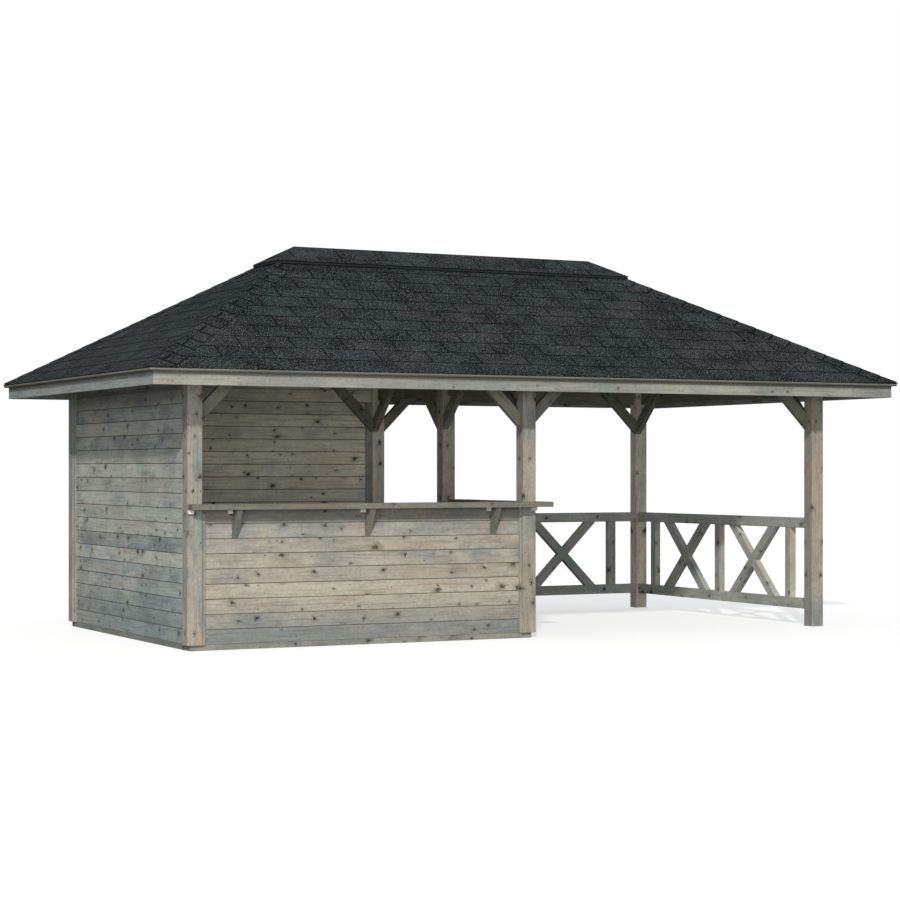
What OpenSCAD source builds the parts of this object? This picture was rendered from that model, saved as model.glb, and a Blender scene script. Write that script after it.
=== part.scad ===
// Open garden gazebo with a bar corner under a shingled hip roof.
// Millimetres, +Z up, length along X, front towards -Y, origin on the ground below the ridge.

/* [Frame] */
// Centre distance between the end posts along the length
post_span_length = 6000; // [5400:20:6600]
// Centre distance between the front and back posts
post_span_depth = 3000; // [2600:20:3400]
// Side of the square posts
post_side = 124; // [100:2:140]
// Width of the flat sills the walls stand on
sill_width = 68; // [60:2:90]
// Height of the sills
sill_height = 46; // [30:1:60]
// Thickness of the header beams
header_thickness = 70; // [50:2:80]
// Height of the headers' undersides
header_underside = 2095; // [1900:5:2400]
// Height of the headers' outer faces
header_height = 185; // [160:1:220]
// Width of the chamfers along the posts' edges
post_chamfer = 4; // [2:1:8]
// Width of the diagonal braces across their grain
brace_width = 95; // [70:1:120]
// Drop from the headers' undersides to the braces' lower tips
brace_drop = 305; // [240:5:360]
// Lap of the braces up the headers' inner faces
brace_lap = 140; // [100:5:155]

/* [Walls] */
// Thickness of the horizontal wall boards
board_thickness = 20; // [16:1:28]
// Height of the half walls' tops, where the counters rest
half_wall_top = 1110; // [1000:5:1250]
// Width of the cover strips beside the posts
cover_strip_width = 27; // [18:1:40]
// Thickness of the cover strips
cover_strip_thickness = 15; // [8:1:20]
// Width of the upright battens behind the boards
batten_width = 45; // [35:1:60]

/* [Bar] */
// Thickness of the counter tops
counter_thickness = 44; // [32:1:60]
// How far the counters stand out beyond the posts' outer faces
counter_reach = 110; // [80:2:160]
// How far the counters run back from the posts' outer faces
counter_back = 72; // [62:2:100]
// Chamfer along the counters' upper outer edge
counter_chamfer = 6; // [3:1:12]
// Thickness of the diagonal counter brackets
bracket_thickness = 45; // [32:1:60]
// Height of the brackets, wall tip to counter
bracket_height = 233; // [180:5:280]
// Height of the brackets' seats on the wall
bracket_root = 102; // [80:2:120]
// Step back from the counters' edge to the brackets' heads
bracket_setback = 12; // [6:1:24]
// Distance from a post face to the middle of the nearest bracket
bracket_inset = 280; // [220:4:400]
// Width of the cleats under the counters
cleat_width = 42; // [32:1:56]
// Height of the cleats
cleat_height = 32; // [24:1:44]
// Depth of the cleats out from the wall or post
cleat_depth = 26; // [18:1:40]

/* [Railings] */
// Height of the railings' tops
rail_top_height = 984; // [900:2:1100]
// Clearance below the bottom rails
rail_clearance = 152; // [100:5:200]
// Height of a rail's section
rail_height = 94; // [70:2:110]
// Thickness of rails, balusters and crosses
rail_thickness = 66; // [52:2:80]
// Step from the posts' inner faces back to the railings
rail_setback = 20; // [8:1:36]
// Width of the upright balusters
baluster_width = 85; // [60:1:100]
// Clear gap between a post and the baluster next to it
baluster_gap = 238; // [180:5:320]
// Width of the crossed arms
cross_arm_width = 85; // [60:1:100]

/* [Roof] */
// Pitch of all four slopes in degrees
roof_pitch = 29.5; // [26:0.5:33]
// Deck's overhang beyond the posts' outer faces
deck_overhang = 468; // [420:2:540]
// Thickness of the roof boarding
deck_thickness = 18; // [16:1:25]
// Thickness of the shingle covering
shingle_thickness = 8; // [6:1:14]
// Shingles' overhang beyond the deck's edge
shingle_lip = 9; // [6:1:20]
// Distance from the deck's edge in to the fascias' outer faces
fascia_setback = 35; // [20:1:45]
// Thickness of the fascia boards
fascia_thickness = 20; // [16:1:28]
// Height of the fascia boards' outer faces
fascia_height = 123; // [100:1:145]
// Lift of the rafters' tails above the fascias' undersides
tail_lift = 6; // [2:1:15]
// Width of the rafters
rafter_width = 45; // [36:1:60]
// Depth of the rafters
rafter_depth = 140; // [120:2:160]
// Largest spacing between the rafters
rafter_spacing = 640; // [520:10:800]
// Extra depth of the ridge beam below the rafters
ridge_extra = 20; // [0:2:40]
// Plan distance from the ridge to the cap's lower edges
cap_reach = 274; // [200:2:320]
// Upright gap below the ridge cap
cap_gap = 11; // [8:1:18]
// Thickness of the ridge cap
cap_thickness = 14; // [10:1:20]
// Number of spacers on each side of the ridge
spacer_count = 5; // [3:1:9]
// Plan distance from the ridge to the spacers' inner ends
spacer_start = 64; // [30:2:100]
// Step back from the cap's edge to the spacers' outer ends
spacer_setback = 40; // [20:2:60]

/* [Hidden] */
half_length = post_span_length / 2;
half_depth = post_span_depth / 2;
half_post = post_side / 2;
half_sill = sill_width / 2;
face_x = half_length + half_post;
face_y = half_depth + half_post;
inner_x = half_length - half_post;
inner_y = half_depth - half_post;
// The headers take the posts' outer part, the braces the inner part
brace_thickness = post_side - header_thickness;
lap_x = face_x - header_thickness;
lap_y = face_y - header_thickness;
lap_mid = half_post - header_thickness;
brace_tip = header_underside - brace_drop;
brace_top = header_underside + brace_lap;
// The walls stand flush with the sills' outer faces
board_back = half_sill - board_thickness;
// The battens end in line with the headers' inner faces, so the braces pass them
batten_in = header_thickness - half_post;
counter_top = half_wall_top + counter_thickness;
counter_width = counter_reach + counter_back;
rail_underside = rail_top_height - rail_height;
rail_low_top = rail_clearance + rail_height;
// Roof planes, all with one pitch, so the hips run at 45 degrees in plan
rise = tan(roof_pitch);
steep = 1 / cos(roof_pitch);
ridge_half = face_x - face_y;
deck_reach = face_y + deck_overhang;
shingle_reach = deck_reach + shingle_lip;
fascia_reach = deck_reach - fascia_setback;
tail_reach = fascia_reach - fascia_thickness;
// Upright thicknesses of the sloping layers
rafter_upright = rafter_depth * steep;
deck_upright = deck_thickness * steep;
shingle_upright = shingle_thickness * steep;
cap_upright = cap_thickness * steep;
// Heights on the ridge line, from the rafters bedded on the headers up to the shingles
rafter_ridge = header_underside + header_height + face_y * rise;
deck_ridge = rafter_ridge + rafter_upright;
shingle_low = deck_ridge + deck_upright;
shingle_ridge = shingle_low + shingle_upright;
fascia_underside = deck_ridge - fascia_reach * rise - fascia_height;
tail_underside = fascia_underside + tail_lift;
half_rafter = rafter_width / 2;
hip_half = half_rafter * sqrt(2);
hip_lean = rise / sqrt(2);
// Well beyond every piece, for cutting shapes
beyond = face_x + deck_ridge;

// A box between two corners
module block(low, high) {
    translate(low) cube(high - low);
}

// A profile drawn in Y and Z, run along X between two places
module along_x(from, to) {
    translate([from, 0, 0]) rotate([90, 0, 90]) linear_extrude(height = to - from) children();
}

// A profile drawn in X and Z, run along Y between two places
module along_y(from, to) {
    translate([0, to, 0]) rotate([90, 0, 0]) linear_extrude(height = to - from) children();
}

// Underside of the rafters at a plan distance out from the ridge
function rafter_low(out) = rafter_ridge - out * rise;

// Number of rafter spaces over a length, even, so one rafter stands in the middle
function rafter_spaces(half) = 2 * ceil(half / rafter_spacing);

/* Sills */

module left_sill() {
    color("burlywood")
    block([-half_length - half_sill, -half_depth - half_sill, 0],
        [-half_length + half_sill, half_depth + half_sill, sill_height]);
}

module long_sills() {
    color("burlywood")
    for (y = [-half_depth, half_depth]) {
        block([-half_length + half_sill, y - half_sill, 0], [half_sill, y + half_sill, sill_height]);
    }
}

module bar_side_sill() {
    color("burlywood")
    block([-half_sill, -half_depth + half_sill, 0], [half_sill, half_sill, sill_height]);
}

/* Posts: the outer part of each top is notched away for the headers */

// Plan of a post with chamfered edges
module post_plan() {
    near = half_post - post_chamfer;
    polygon([[near, half_post], [half_post, near], [half_post, -near], [near, -half_post],
        [-near, -half_post], [-half_post, -near], [-half_post, near], [-near, half_post]]);
}

// A post on a middle point; out_x and out_y give the sides that are notched, or 0 for none
module post(x, y, foot, out_x, out_y) {
    keep = half_post - header_thickness;
    translate([x, y, foot])
    difference() {
        linear_extrude(height = brace_top - foot) post_plan();
        if (out_x != 0) {
            notch(out_x > 0 ? [keep, -post_side] : [-post_side, -post_side],
                out_x > 0 ? [post_side, post_side] : [-keep, post_side], foot);
        }
        if (out_y != 0) {
            notch(out_y > 0 ? [-post_side, keep] : [-post_side, -post_side],
                out_y > 0 ? [post_side, post_side] : [post_side, -keep], foot);
        }
    }
}

// The part of a post's top that a header takes, between two plan corners
module notch(low, high, foot) {
    translate([low[0], low[1], header_underside - foot])
    cube([high[0] - low[0], high[1] - low[1], brace_top]);
}

module front_left_post() {
    color("tan") post(-half_length, -half_depth, sill_height, -1, -1);
}

module back_left_post() {
    color("tan") post(-half_length, half_depth, sill_height, -1, 1);
}

module front_right_post() {
    color("tan") post(half_length, -half_depth, 0, 1, -1);
}

module back_right_post() {
    color("tan") post(half_length, half_depth, 0, 1, 1);
}

module front_middle_post() {
    color("tan") post(0, -half_depth, sill_height, 1, -1);
}

module back_middle_post() {
    color("tan") post(0, half_depth, sill_height, 1, 1);
}

module bar_end_post() {
    color("tan") post(0, 0, sill_height, 1, 0);
}

/* Walls of horizontal boards, open above the two half walls */

module left_wall() {
    color("wheat")
    block([-half_length - half_sill, -inner_y, sill_height],
        [-half_length - board_back, inner_y, header_underside]);
}

module back_wall() {
    color("wheat")
    block([-inner_x, half_depth + board_back, sill_height],
        [-half_post, half_depth + half_sill, header_underside]);
}

module front_half_wall() {
    color("wheat")
    block([-inner_x, -half_depth - half_sill, sill_height],
        [-half_post, -half_depth - board_back, half_wall_top]);
}

module bar_side_half_wall() {
    color("wheat")
    block([board_back, -inner_y, sill_height], [half_sill, -half_post, half_wall_top]);
}

module cover_strips() {
    strip_out = half_sill + cover_strip_thickness;
    color("tan") {
        for (x = [-inner_x, -half_post - cover_strip_width]) {
            block([x, -half_depth - strip_out, sill_height],
                [x + cover_strip_width, -half_depth - half_sill, half_wall_top]);
            block([x, half_depth + half_sill, sill_height],
                [x + cover_strip_width, half_depth + strip_out, header_underside]);
        }
        for (y = [-inner_y, inner_y - cover_strip_width]) {
            block([-half_length - strip_out, y, sill_height],
                [-half_length - half_sill, y + cover_strip_width, header_underside]);
        }
        for (y = [-inner_y, -half_post - cover_strip_width]) {
            block([half_sill, y, sill_height], [strip_out, y + cover_strip_width, half_wall_top]);
        }
    }
}

module wall_battens() {
    color("peru") {
        for (x = [-inner_x, -half_post - batten_width]) {
            block([x, -half_depth - board_back, sill_height],
                [x + batten_width, -half_depth + batten_in, half_wall_top]);
            block([x, half_depth - batten_in, sill_height],
                [x + batten_width, half_depth + board_back, header_underside]);
        }
        for (y = [-inner_y, inner_y - batten_width]) {
            block([-half_length - board_back, y, sill_height],
                [-half_length + batten_in, y + batten_width, header_underside]);
        }
        for (y = [-inner_y, -half_post - batten_width]) {
            block([-batten_in, y, sill_height], [board_back, y + batten_width, half_wall_top]);
        }
    }
}

/* Bar counter on two sides, cut round the posts */

// Section of the front counter in Y and Z, chamfered above its outer edge
module counter_profile() {
    out = -face_y - counter_reach;
    polygon([[out, half_wall_top], [out + counter_width, half_wall_top],
        [out + counter_width, counter_top], [out + counter_chamfer, counter_top],
        [out, counter_top - counter_chamfer]]);
}

// Section of the side counter in X and Z
module side_counter_profile() {
    out = half_post + counter_reach;
    polygon([[out, half_wall_top], [out, counter_top - counter_chamfer],
        [out - counter_chamfer, counter_top], [out - counter_width, counter_top],
        [out - counter_width, half_wall_top]]);
}

// The space a post takes out of a counter
module post_slot(x, y) {
    block([x - half_post, y - half_post, half_wall_top - 1],
        [x + half_post, y + half_post, counter_top + 1]);
}

module front_counter() {
    color("sienna")
    difference() {
        along_x(-face_x, half_post + counter_reach) counter_profile();
        post_slot(-half_length, -half_depth);
        post_slot(0, -half_depth);
        chamfer_corner();
    }
}

// The chamfer carried round the front counter's right-hand end
module chamfer_corner() {
    out = half_post + counter_reach;
    along_y(-face_y - counter_reach - 1, -face_y + counter_back + 1)
    polygon([[out - counter_chamfer, counter_top], [out + 1, counter_top - counter_chamfer - 1],
        [out + 1, counter_top + 1], [out - counter_chamfer, counter_top + 1]]);
}

module side_counter() {
    color("sienna")
    difference() {
        along_y(-face_y + counter_back, half_post) side_counter_profile();
        post_slot(0, -half_depth);
        post_slot(0, 0);
    }
}

// Outline of a diagonal bracket, out from the wall face and up
module bracket_profile() {
    out = half_post - half_sill + counter_reach - bracket_setback;
    foot = half_wall_top - bracket_height;
    head = out * bracket_root / bracket_height;
    polygon([[0, foot], [out, half_wall_top], [out - head, half_wall_top], [0, foot + bracket_root]]);
}

// Middles of the front brackets along X
bracket_places = [-inner_x + bracket_inset, -half_length / 2, -half_post - bracket_inset];
// Middles of the side brackets along Y
side_bracket_places = [-inner_y + bracket_inset, -half_post - bracket_inset];

module counter_brackets() {
    color("peru") {
        for (x = bracket_places) {
            translate([x + bracket_thickness / 2, -half_depth - half_sill, 0])
            rotate([90, 0, -90]) linear_extrude(height = bracket_thickness) bracket_profile();
        }
        for (y = side_bracket_places) {
            translate([half_sill, y + bracket_thickness / 2, 0])
            rotate([90, 0, 0]) linear_extrude(height = bracket_thickness) bracket_profile();
        }
    }
}

module counter_cleats() {
    wall_face = -half_depth - half_sill;
    low = half_wall_top - cleat_height;
    beside = bracket_thickness / 2 + cleat_width;
    color("bisque") {
        for (x = bracket_places) {
            block([x - beside, wall_face - cleat_depth, low],
                [x - beside + cleat_width, wall_face, half_wall_top]);
        }
        for (x = [-face_x, half_post - cleat_width]) {
            block([x, -face_y - cleat_depth, low], [x + cleat_width, -face_y, half_wall_top]);
        }
    }
}

/* Railings: two rails, three balusters and two crosses, all in one plane */

// One cross arm, level ends on both rails, leaning right when lean is 1 and left when it is -1
module cross_arm(middle, lean) {
    foot = lean * (rail_underside - rail_low_top) / 2;
    wide = cross_arm_width / sqrt(2);
    polygon([[middle - foot - wide, rail_low_top], [middle - foot + wide, rail_low_top],
        [middle + foot + wide, rail_underside], [middle + foot - wide, rail_underside]]);
}

// Whole outline of a railing between two posts, length by height
module railing_face(length) {
    near = baluster_gap + baluster_width;
    cross_middle = (near + length / 2 - baluster_width / 2) / 2;
    translate([0, rail_clearance]) square([length, rail_height]);
    translate([0, rail_underside]) square([length, rail_height]);
    for (x = [baluster_gap, (length - baluster_width) / 2, length - near]) {
        translate([x, rail_low_top]) square([baluster_width, rail_underside - rail_low_top]);
    }
    for (middle = [cross_middle, length - cross_middle]) {
        cross_arm(middle, 1);
        cross_arm(middle, -1);
    }
}

module back_railing() {
    color("burlywood")
    translate([half_post, inner_y + rail_setback + rail_thickness, 0])
    rotate([90, 0, 0]) linear_extrude(height = rail_thickness)
    railing_face(inner_x - half_post);
}

module right_railing() {
    color("burlywood")
    translate([inner_x + rail_setback, -inner_y, 0])
    rotate([90, 0, 90]) linear_extrude(height = rail_thickness)
    railing_face(2 * inner_y);
}

/* Headers: the tops are bevelled to the roof so the rafters bed on them */

// Section of a header, out from the ridge and up
module header_profile() {
    polygon([[lap_y, header_underside], [face_y, header_underside],
        [face_y, rafter_low(face_y)], [lap_y, rafter_low(lap_y)]]);
}

module front_header() {
    color("tan")
    mirror([0, 1, 0]) along_x(-face_x, face_x) header_profile();
}

module back_header() {
    color("tan")
    along_x(-face_x, face_x) header_profile();
}

module right_header() {
    color("tan")
    along_y(-lap_y, lap_y) translate([ridge_half, 0]) header_profile();
}

module left_header() {
    color("tan")
    mirror([1, 0, 0]) along_y(-lap_y, lap_y) translate([ridge_half, 0]) header_profile();
}

module cross_beam() {
    color("tan")
    block([lap_mid, -lap_y, header_underside], [half_post, lap_y, rafter_low(face_y)]);
}

/* Braces at 45 degrees, lapped on the headers' inner faces */

// Outline of a brace, out from its post and up; way is 1 or -1
module brace_profile(way) {
    cut = brace_width * sqrt(2);
    climb = brace_top - brace_tip;
    polygon([[0, brace_tip], [way * climb, brace_top], [way * (climb - cut), brace_top],
        [0, brace_tip + cut]]);
}

// A brace running along X from a post face, its thickness from y upwards
module brace_in_x(x, y, way) {
    translate([x, 0, 0]) along_y(y, y + brace_thickness) brace_profile(way);
}

// A brace running along Y from a post face, its thickness from x upwards
module brace_in_y(x, y, way) {
    translate([0, y, 0]) along_x(x, x + brace_thickness) brace_profile(way);
}

module brace_row(y) {
    brace_in_x(-inner_x, y, 1);
    brace_in_x(-half_post, y, -1);
    brace_in_x(half_post, y, 1);
    brace_in_x(inner_x, y, -1);
}

module front_braces() {
    color("peru") brace_row(-lap_y);
}

module back_braces() {
    color("peru") brace_row(inner_y);
}

module side_braces() {
    color("peru")
    for (x = [-lap_x, inner_x]) {
        brace_in_y(x, -inner_y, 1);
        brace_in_y(x, inner_y, -1);
    }
}

module cross_braces() {
    color("peru") {
        brace_in_y(-half_post, -inner_y, 1);
        brace_in_y(-half_post, -half_post, -1);
        brace_in_y(-half_post, half_post, 1);
        brace_in_y(-half_post, inner_y, -1);
    }
}

/* Roof timbers */

module ridge_beam() {
    top = deck_ridge - half_rafter * rise;
    color("tan")
    block([-ridge_half - half_rafter, -half_rafter, top - rafter_upright - ridge_extra],
        [ridge_half + half_rafter, half_rafter, top]);
}

// Outline of a rafter, out from the ridge and up, its tail cut to the fascia
module rafter_profile() {
    intersection() {
        polygon([[0, rafter_ridge], [deck_reach, rafter_low(deck_reach)],
            [deck_reach, rafter_low(deck_reach) + rafter_upright], [0, deck_ridge]]);
        translate([half_rafter, tail_underside]) square([tail_reach - half_rafter, deck_ridge]);
    }
}

// Plan of one long slope, kept clear of the hip rafters' faces
module long_plan() {
    near = ridge_half - hip_half;
    polygon([[-near - beyond, beyond], [-near, 0], [near, 0], [near + beyond, beyond]]);
}

// Plan of one short slope, kept clear of the hip rafters' faces
module short_plan() {
    near = ridge_half + hip_half;
    polygon([[near, 0], [near + beyond, beyond], [near + beyond, -beyond]]);
}

// Rafters stand evenly between the corner posts on each side
module long_side_rafters() {
    spaces = rafter_spaces(half_length);
    color("peru")
    for (side = [0, 1]) {
        mirror([0, side, 0])
        intersection() {
            linear_extrude(height = beyond) long_plan();
            for (i = [1 : spaces - 1]) {
                x = -half_length + i * post_span_length / spaces;
                along_x(x - half_rafter, x + half_rafter) rafter_profile();
            }
        }
    }
}

module short_side_rafters() {
    spaces = rafter_spaces(half_depth);
    color("peru")
    for (side = [0, 1]) {
        mirror([side, 0, 0])
        intersection() {
            linear_extrude(height = beyond) union() {
                short_plan();
                translate([ridge_half, -half_rafter]) square([beyond, rafter_width]);
            }
            for (i = [1 : spaces - 1]) {
                y = -half_depth + i * post_span_depth / spaces;
                along_y(y - half_rafter, y + half_rafter) translate([ridge_half, 0]) rafter_profile();
            }
        }
    }
}

// Outline of a hip rafter along its diagonal, out from the ridge end and up
module hip_profile() {
    reach = deck_reach * sqrt(2);
    top = deck_ridge - half_rafter * hip_lean;
    low = rafter_ridge + half_rafter * hip_lean;
    tail = (tail_reach - hip_half) * sqrt(2);
    intersection() {
        polygon([[0, low], [reach, low - reach * hip_lean], [reach, top - reach * hip_lean], [0, top]]);
        translate([0, tail_underside]) square([tail, deck_ridge]);
    }
}

// The hips' heads are cut against the ridge beam and the middle end rafter
module hip_rafters() {
    color("peru")
    difference() {
        for (turn = [45, 135, 225, 315]) {
            translate([cos(turn) > 0 ? ridge_half : -ridge_half, 0, 0]) rotate([0, 0, turn])
            along_y(-half_rafter, half_rafter) hip_profile();
        }
        block([-beyond, -half_rafter, 0], [beyond, half_rafter, beyond]);
    }
}

/* Fascias round the eaves, their tops bevelled to the deck's underside */

module fascia_profile() {
    polygon([[tail_reach, fascia_underside], [fascia_reach, fascia_underside],
        [fascia_reach, deck_ridge - fascia_reach * rise], [tail_reach, deck_ridge - tail_reach * rise]]);
}

module long_fascia() {
    intersection() {
        along_x(-beyond, beyond) fascia_profile();
        linear_extrude(height = beyond) long_mitre();
    }
}

module short_fascia() {
    intersection() {
        along_y(-beyond, beyond) translate([ridge_half, 0]) fascia_profile();
        linear_extrude(height = beyond) short_mitre();
    }
}

// Plan of one long slope, mitred on the hip lines
module long_mitre() {
    polygon([[-ridge_half, 0], [ridge_half, 0], [ridge_half + beyond, beyond],
        [-ridge_half - beyond, beyond]]);
}

// Plan of one short slope, mitred on the hip lines
module short_mitre() {
    polygon([[ridge_half, 0], [ridge_half + beyond, -beyond], [ridge_half + beyond, beyond]]);
}

module long_fascias() {
    color("gainsboro") {
        long_fascia();
        mirror([0, 1, 0]) long_fascia();
    }
}

module end_fascias() {
    color("gainsboro") {
        short_fascia();
        mirror([1, 0, 0]) short_fascia();
    }
}

/* Roof planes: sheets of even thickness, mitred on the hips */

// Section of a sheet, out from the ridge and up, with plumb edges
module sheet_profile(reach, ridge_low, upright) {
    polygon([[0, ridge_low], [reach, ridge_low - reach * rise],
        [reach, ridge_low - reach * rise + upright], [0, ridge_low + upright]]);
}

module long_sheet(reach, ridge_low, upright) {
    intersection() {
        along_x(-beyond, beyond) sheet_profile(reach, ridge_low, upright);
        linear_extrude(height = beyond) long_mitre();
    }
}

module short_sheet(reach, ridge_low, upright) {
    intersection() {
        along_y(-beyond, beyond) translate([ridge_half, 0]) sheet_profile(reach, ridge_low, upright);
        linear_extrude(height = beyond) short_mitre();
    }
}

module front_deck() {
    color("burlywood") mirror([0, 1, 0]) long_sheet(deck_reach, deck_ridge, deck_upright);
}

module back_deck() {
    color("burlywood") long_sheet(deck_reach, deck_ridge, deck_upright);
}

module end_decks() {
    color("burlywood") {
        short_sheet(deck_reach, deck_ridge, deck_upright);
        mirror([1, 0, 0]) short_sheet(deck_reach, deck_ridge, deck_upright);
    }
}

module front_shingles() {
    color("dimgray") mirror([0, 1, 0]) long_sheet(shingle_reach, shingle_low, shingle_upright);
}

module back_shingles() {
    color("dimgray") long_sheet(shingle_reach, shingle_low, shingle_upright);
}

module end_shingles() {
    color("dimgray") {
        short_sheet(shingle_reach, shingle_low, shingle_upright);
        mirror([1, 0, 0]) short_sheet(shingle_reach, shingle_low, shingle_upright);
    }
}

/* Raised ridge cap on spacers */

// Section of a spacer, out from the ridge and up, flush with slope and cap
module spacer_profile() {
    inner = spacer_start;
    outer = cap_reach - spacer_setback;
    polygon([[inner, shingle_ridge - inner * rise], [outer, shingle_ridge - outer * rise],
        [outer, shingle_ridge - outer * rise + cap_gap], [inner, shingle_ridge - inner * rise + cap_gap]]);
}

module cap_spacers() {
    color("peru")
    for (side = [0, 1]) {
        mirror([0, side, 0])
        for (i = [0 : spacer_count - 1]) {
            x = (2 * i / (spacer_count - 1) - 1) * ridge_half;
            along_x(x - half_rafter, x + half_rafter) spacer_profile();
        }
    }
}

// A hipped block over the ridge, down to a level floor
module hip_block(reach, peak, floor) {
    rim = peak - reach * rise;
    end = ridge_half + reach;
    intersection() {
        along_x(-end, end)
        polygon([[-reach, floor], [reach, floor], [reach, rim], [0, peak], [-reach, rim]]);
        along_y(-reach, reach)
        polygon([[-end, floor], [end, floor], [end, rim], [ridge_half, peak], [-ridge_half, peak],
            [-end, rim]]);
    }
}

module ridge_cap() {
    low = shingle_ridge + cap_gap;
    rim_low = low - cap_reach * rise;
    color("dimgray")
    difference() {
        hip_block(cap_reach, low + cap_upright, rim_low);
        hip_block(cap_reach + cap_gap, low, rim_low - cap_upright);
    }
}

left_sill();
long_sills();
bar_side_sill();
front_left_post();
front_middle_post();
front_right_post();
back_left_post();
back_middle_post();
back_right_post();
bar_end_post();
left_wall();
back_wall();
front_half_wall();
bar_side_half_wall();
cover_strips();
wall_battens();
front_counter();
side_counter();
counter_brackets();
counter_cleats();
back_railing();
right_railing();
front_header();
back_header();
left_header();
right_header();
cross_beam();
front_braces();
back_braces();
side_braces();
cross_braces();
ridge_beam();
hip_rafters();
long_side_rafters();
short_side_rafters();
long_fascias();
end_fascias();
front_deck();
back_deck();
end_decks();
front_shingles();
back_shingles();
end_shingles();
cap_spacers();
ridge_cap();
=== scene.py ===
"""Looks of a garden gazebo with a bar corner: weathered timber below a shingled hip roof."""

import itertools
import logging
import math
from contextlib import contextmanager
from dataclasses import dataclass
from enum import Enum
from typing import Any, Callable, Iterator, Optional, Sequence, Union

import bpy
import numpy as np
from mathutils import Matrix, Vector


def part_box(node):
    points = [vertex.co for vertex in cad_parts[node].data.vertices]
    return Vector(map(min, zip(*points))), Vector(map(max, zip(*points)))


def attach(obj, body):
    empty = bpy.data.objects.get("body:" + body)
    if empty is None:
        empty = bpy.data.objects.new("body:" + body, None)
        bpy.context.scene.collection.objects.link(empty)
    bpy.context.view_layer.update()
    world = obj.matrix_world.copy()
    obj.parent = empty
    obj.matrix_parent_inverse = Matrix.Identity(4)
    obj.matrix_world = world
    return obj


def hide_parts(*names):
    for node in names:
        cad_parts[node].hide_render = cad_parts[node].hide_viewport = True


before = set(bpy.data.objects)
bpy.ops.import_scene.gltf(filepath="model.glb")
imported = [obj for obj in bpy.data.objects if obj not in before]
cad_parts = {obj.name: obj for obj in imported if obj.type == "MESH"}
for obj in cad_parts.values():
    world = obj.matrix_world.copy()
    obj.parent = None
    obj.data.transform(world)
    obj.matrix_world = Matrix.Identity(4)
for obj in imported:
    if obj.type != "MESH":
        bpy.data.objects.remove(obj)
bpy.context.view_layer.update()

log = logging.getLogger("gazebo")

BODY = "root"

PITCH = math.radians(29.5)
RIDGE_HALF = 1.5
INNER_X, INNER_Y, POST_HALF = 2.938, 1.438, 0.062
BRACE_TIP = 1.790
BOARD_PITCH, BOARD_GAP, BOARD_JOINT = 0.1192, 0.004, 0.003
AXES = (1.0, 0.0, 0.0), (0.0, 1.0, 0.0), (0.0, 0.0, 1.0)
X_WAY, Y_WAY, UP = AXES
ORIGIN = (0.0, 0.0, 0.0)
HERE = Matrix.Identity(4)

Piece = bpy.types.Object
Material = bpy.types.Material
Number = Union[float, "Val"]
Colour = tuple[float, float, float]


def linear(red: int, green: int, blue: int) -> Colour:
    """Turn a colour as seen on a screen into the linear values that a shader takes.

    Args:
        red, green, blue: Levels from 0 to 255.

    Returns:
        The linear colour.
    """
    def one(level: int) -> float:
        """Linear value of one level."""
        part = level / 255
        return part / 12.92 if part <= 0.04045 else ((part + 0.055) / 1.055) ** 2.4
    return one(red), one(green), one(blue)


# Shader expressions


class Val:
    """A socket in a node tree, so that shader maths reads as Python expressions."""

    def __init__(self, shader: "Shader", socket: bpy.types.NodeSocket) -> None:
        """Keep the shader and the socket."""
        self.shader = shader
        self.socket = socket

    def _math(self, operation: str, *values: Number) -> "Val":
        """Add one Math node.

        Args:
            operation: Name of the Math node's operation.
            values: Its inputs in order.

        Returns:
            The node's result.
        """
        made = self.shader.add("ShaderNodeMath", {"operation": operation}, dict(enumerate(values)))
        return made["Value"]

    def __add__(self, other: Number) -> "Val":
        """Sum."""
        return self._math("ADD", self, other)

    def __radd__(self, other: Number) -> "Val":
        """Sum with the number first."""
        return self._math("ADD", other, self)

    def __sub__(self, other: Number) -> "Val":
        """Difference."""
        return self._math("SUBTRACT", self, other)

    def __mul__(self, other: Number) -> "Val":
        """Product."""
        return self._math("MULTIPLY", self, other)

    def __truediv__(self, other: Number) -> "Val":
        """Quotient."""
        return self._math("DIVIDE", self, other)

    def __abs__(self) -> "Val":
        """Size without the sign."""
        return self._math("ABSOLUTE", self)

    def rounded(self) -> "Val":
        """Nearest whole number."""
        return self._math("ROUND", self)

    def sign(self) -> "Val":
        """Minus one, nought or one."""
        return self._math("SIGN", self)

    def at_most(self, high: Number) -> "Val":
        """The smaller of the two."""
        return self._math("MINIMUM", self, high)

    def ramp(self, low: Number, high: Number) -> "Val":
        """Ease from 0 at low to 1 at high; low may be above high.

        Args:
            low: Where the result is 0.
            high: Where the result is 1.

        Returns:
            The eased value, between 0 and 1.
        """
        made = self.shader.add(
            "ShaderNodeMapRange", {"interpolation_type": "SMOOTHSTEP"},
            {"Value": self, "From Min": low, "From Max": high})
        return made["Result"]


class Made:
    """A new node, whose outputs are taken by name."""

    def __init__(self, shader: "Shader", node: bpy.types.Node) -> None:
        """Keep the shader and the node."""
        self.shader = shader
        self.node = node

    def __getitem__(self, output: Union[str, int]) -> Val:
        """One output of the node."""
        return Val(self.shader, self.node.outputs[output])


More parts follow.
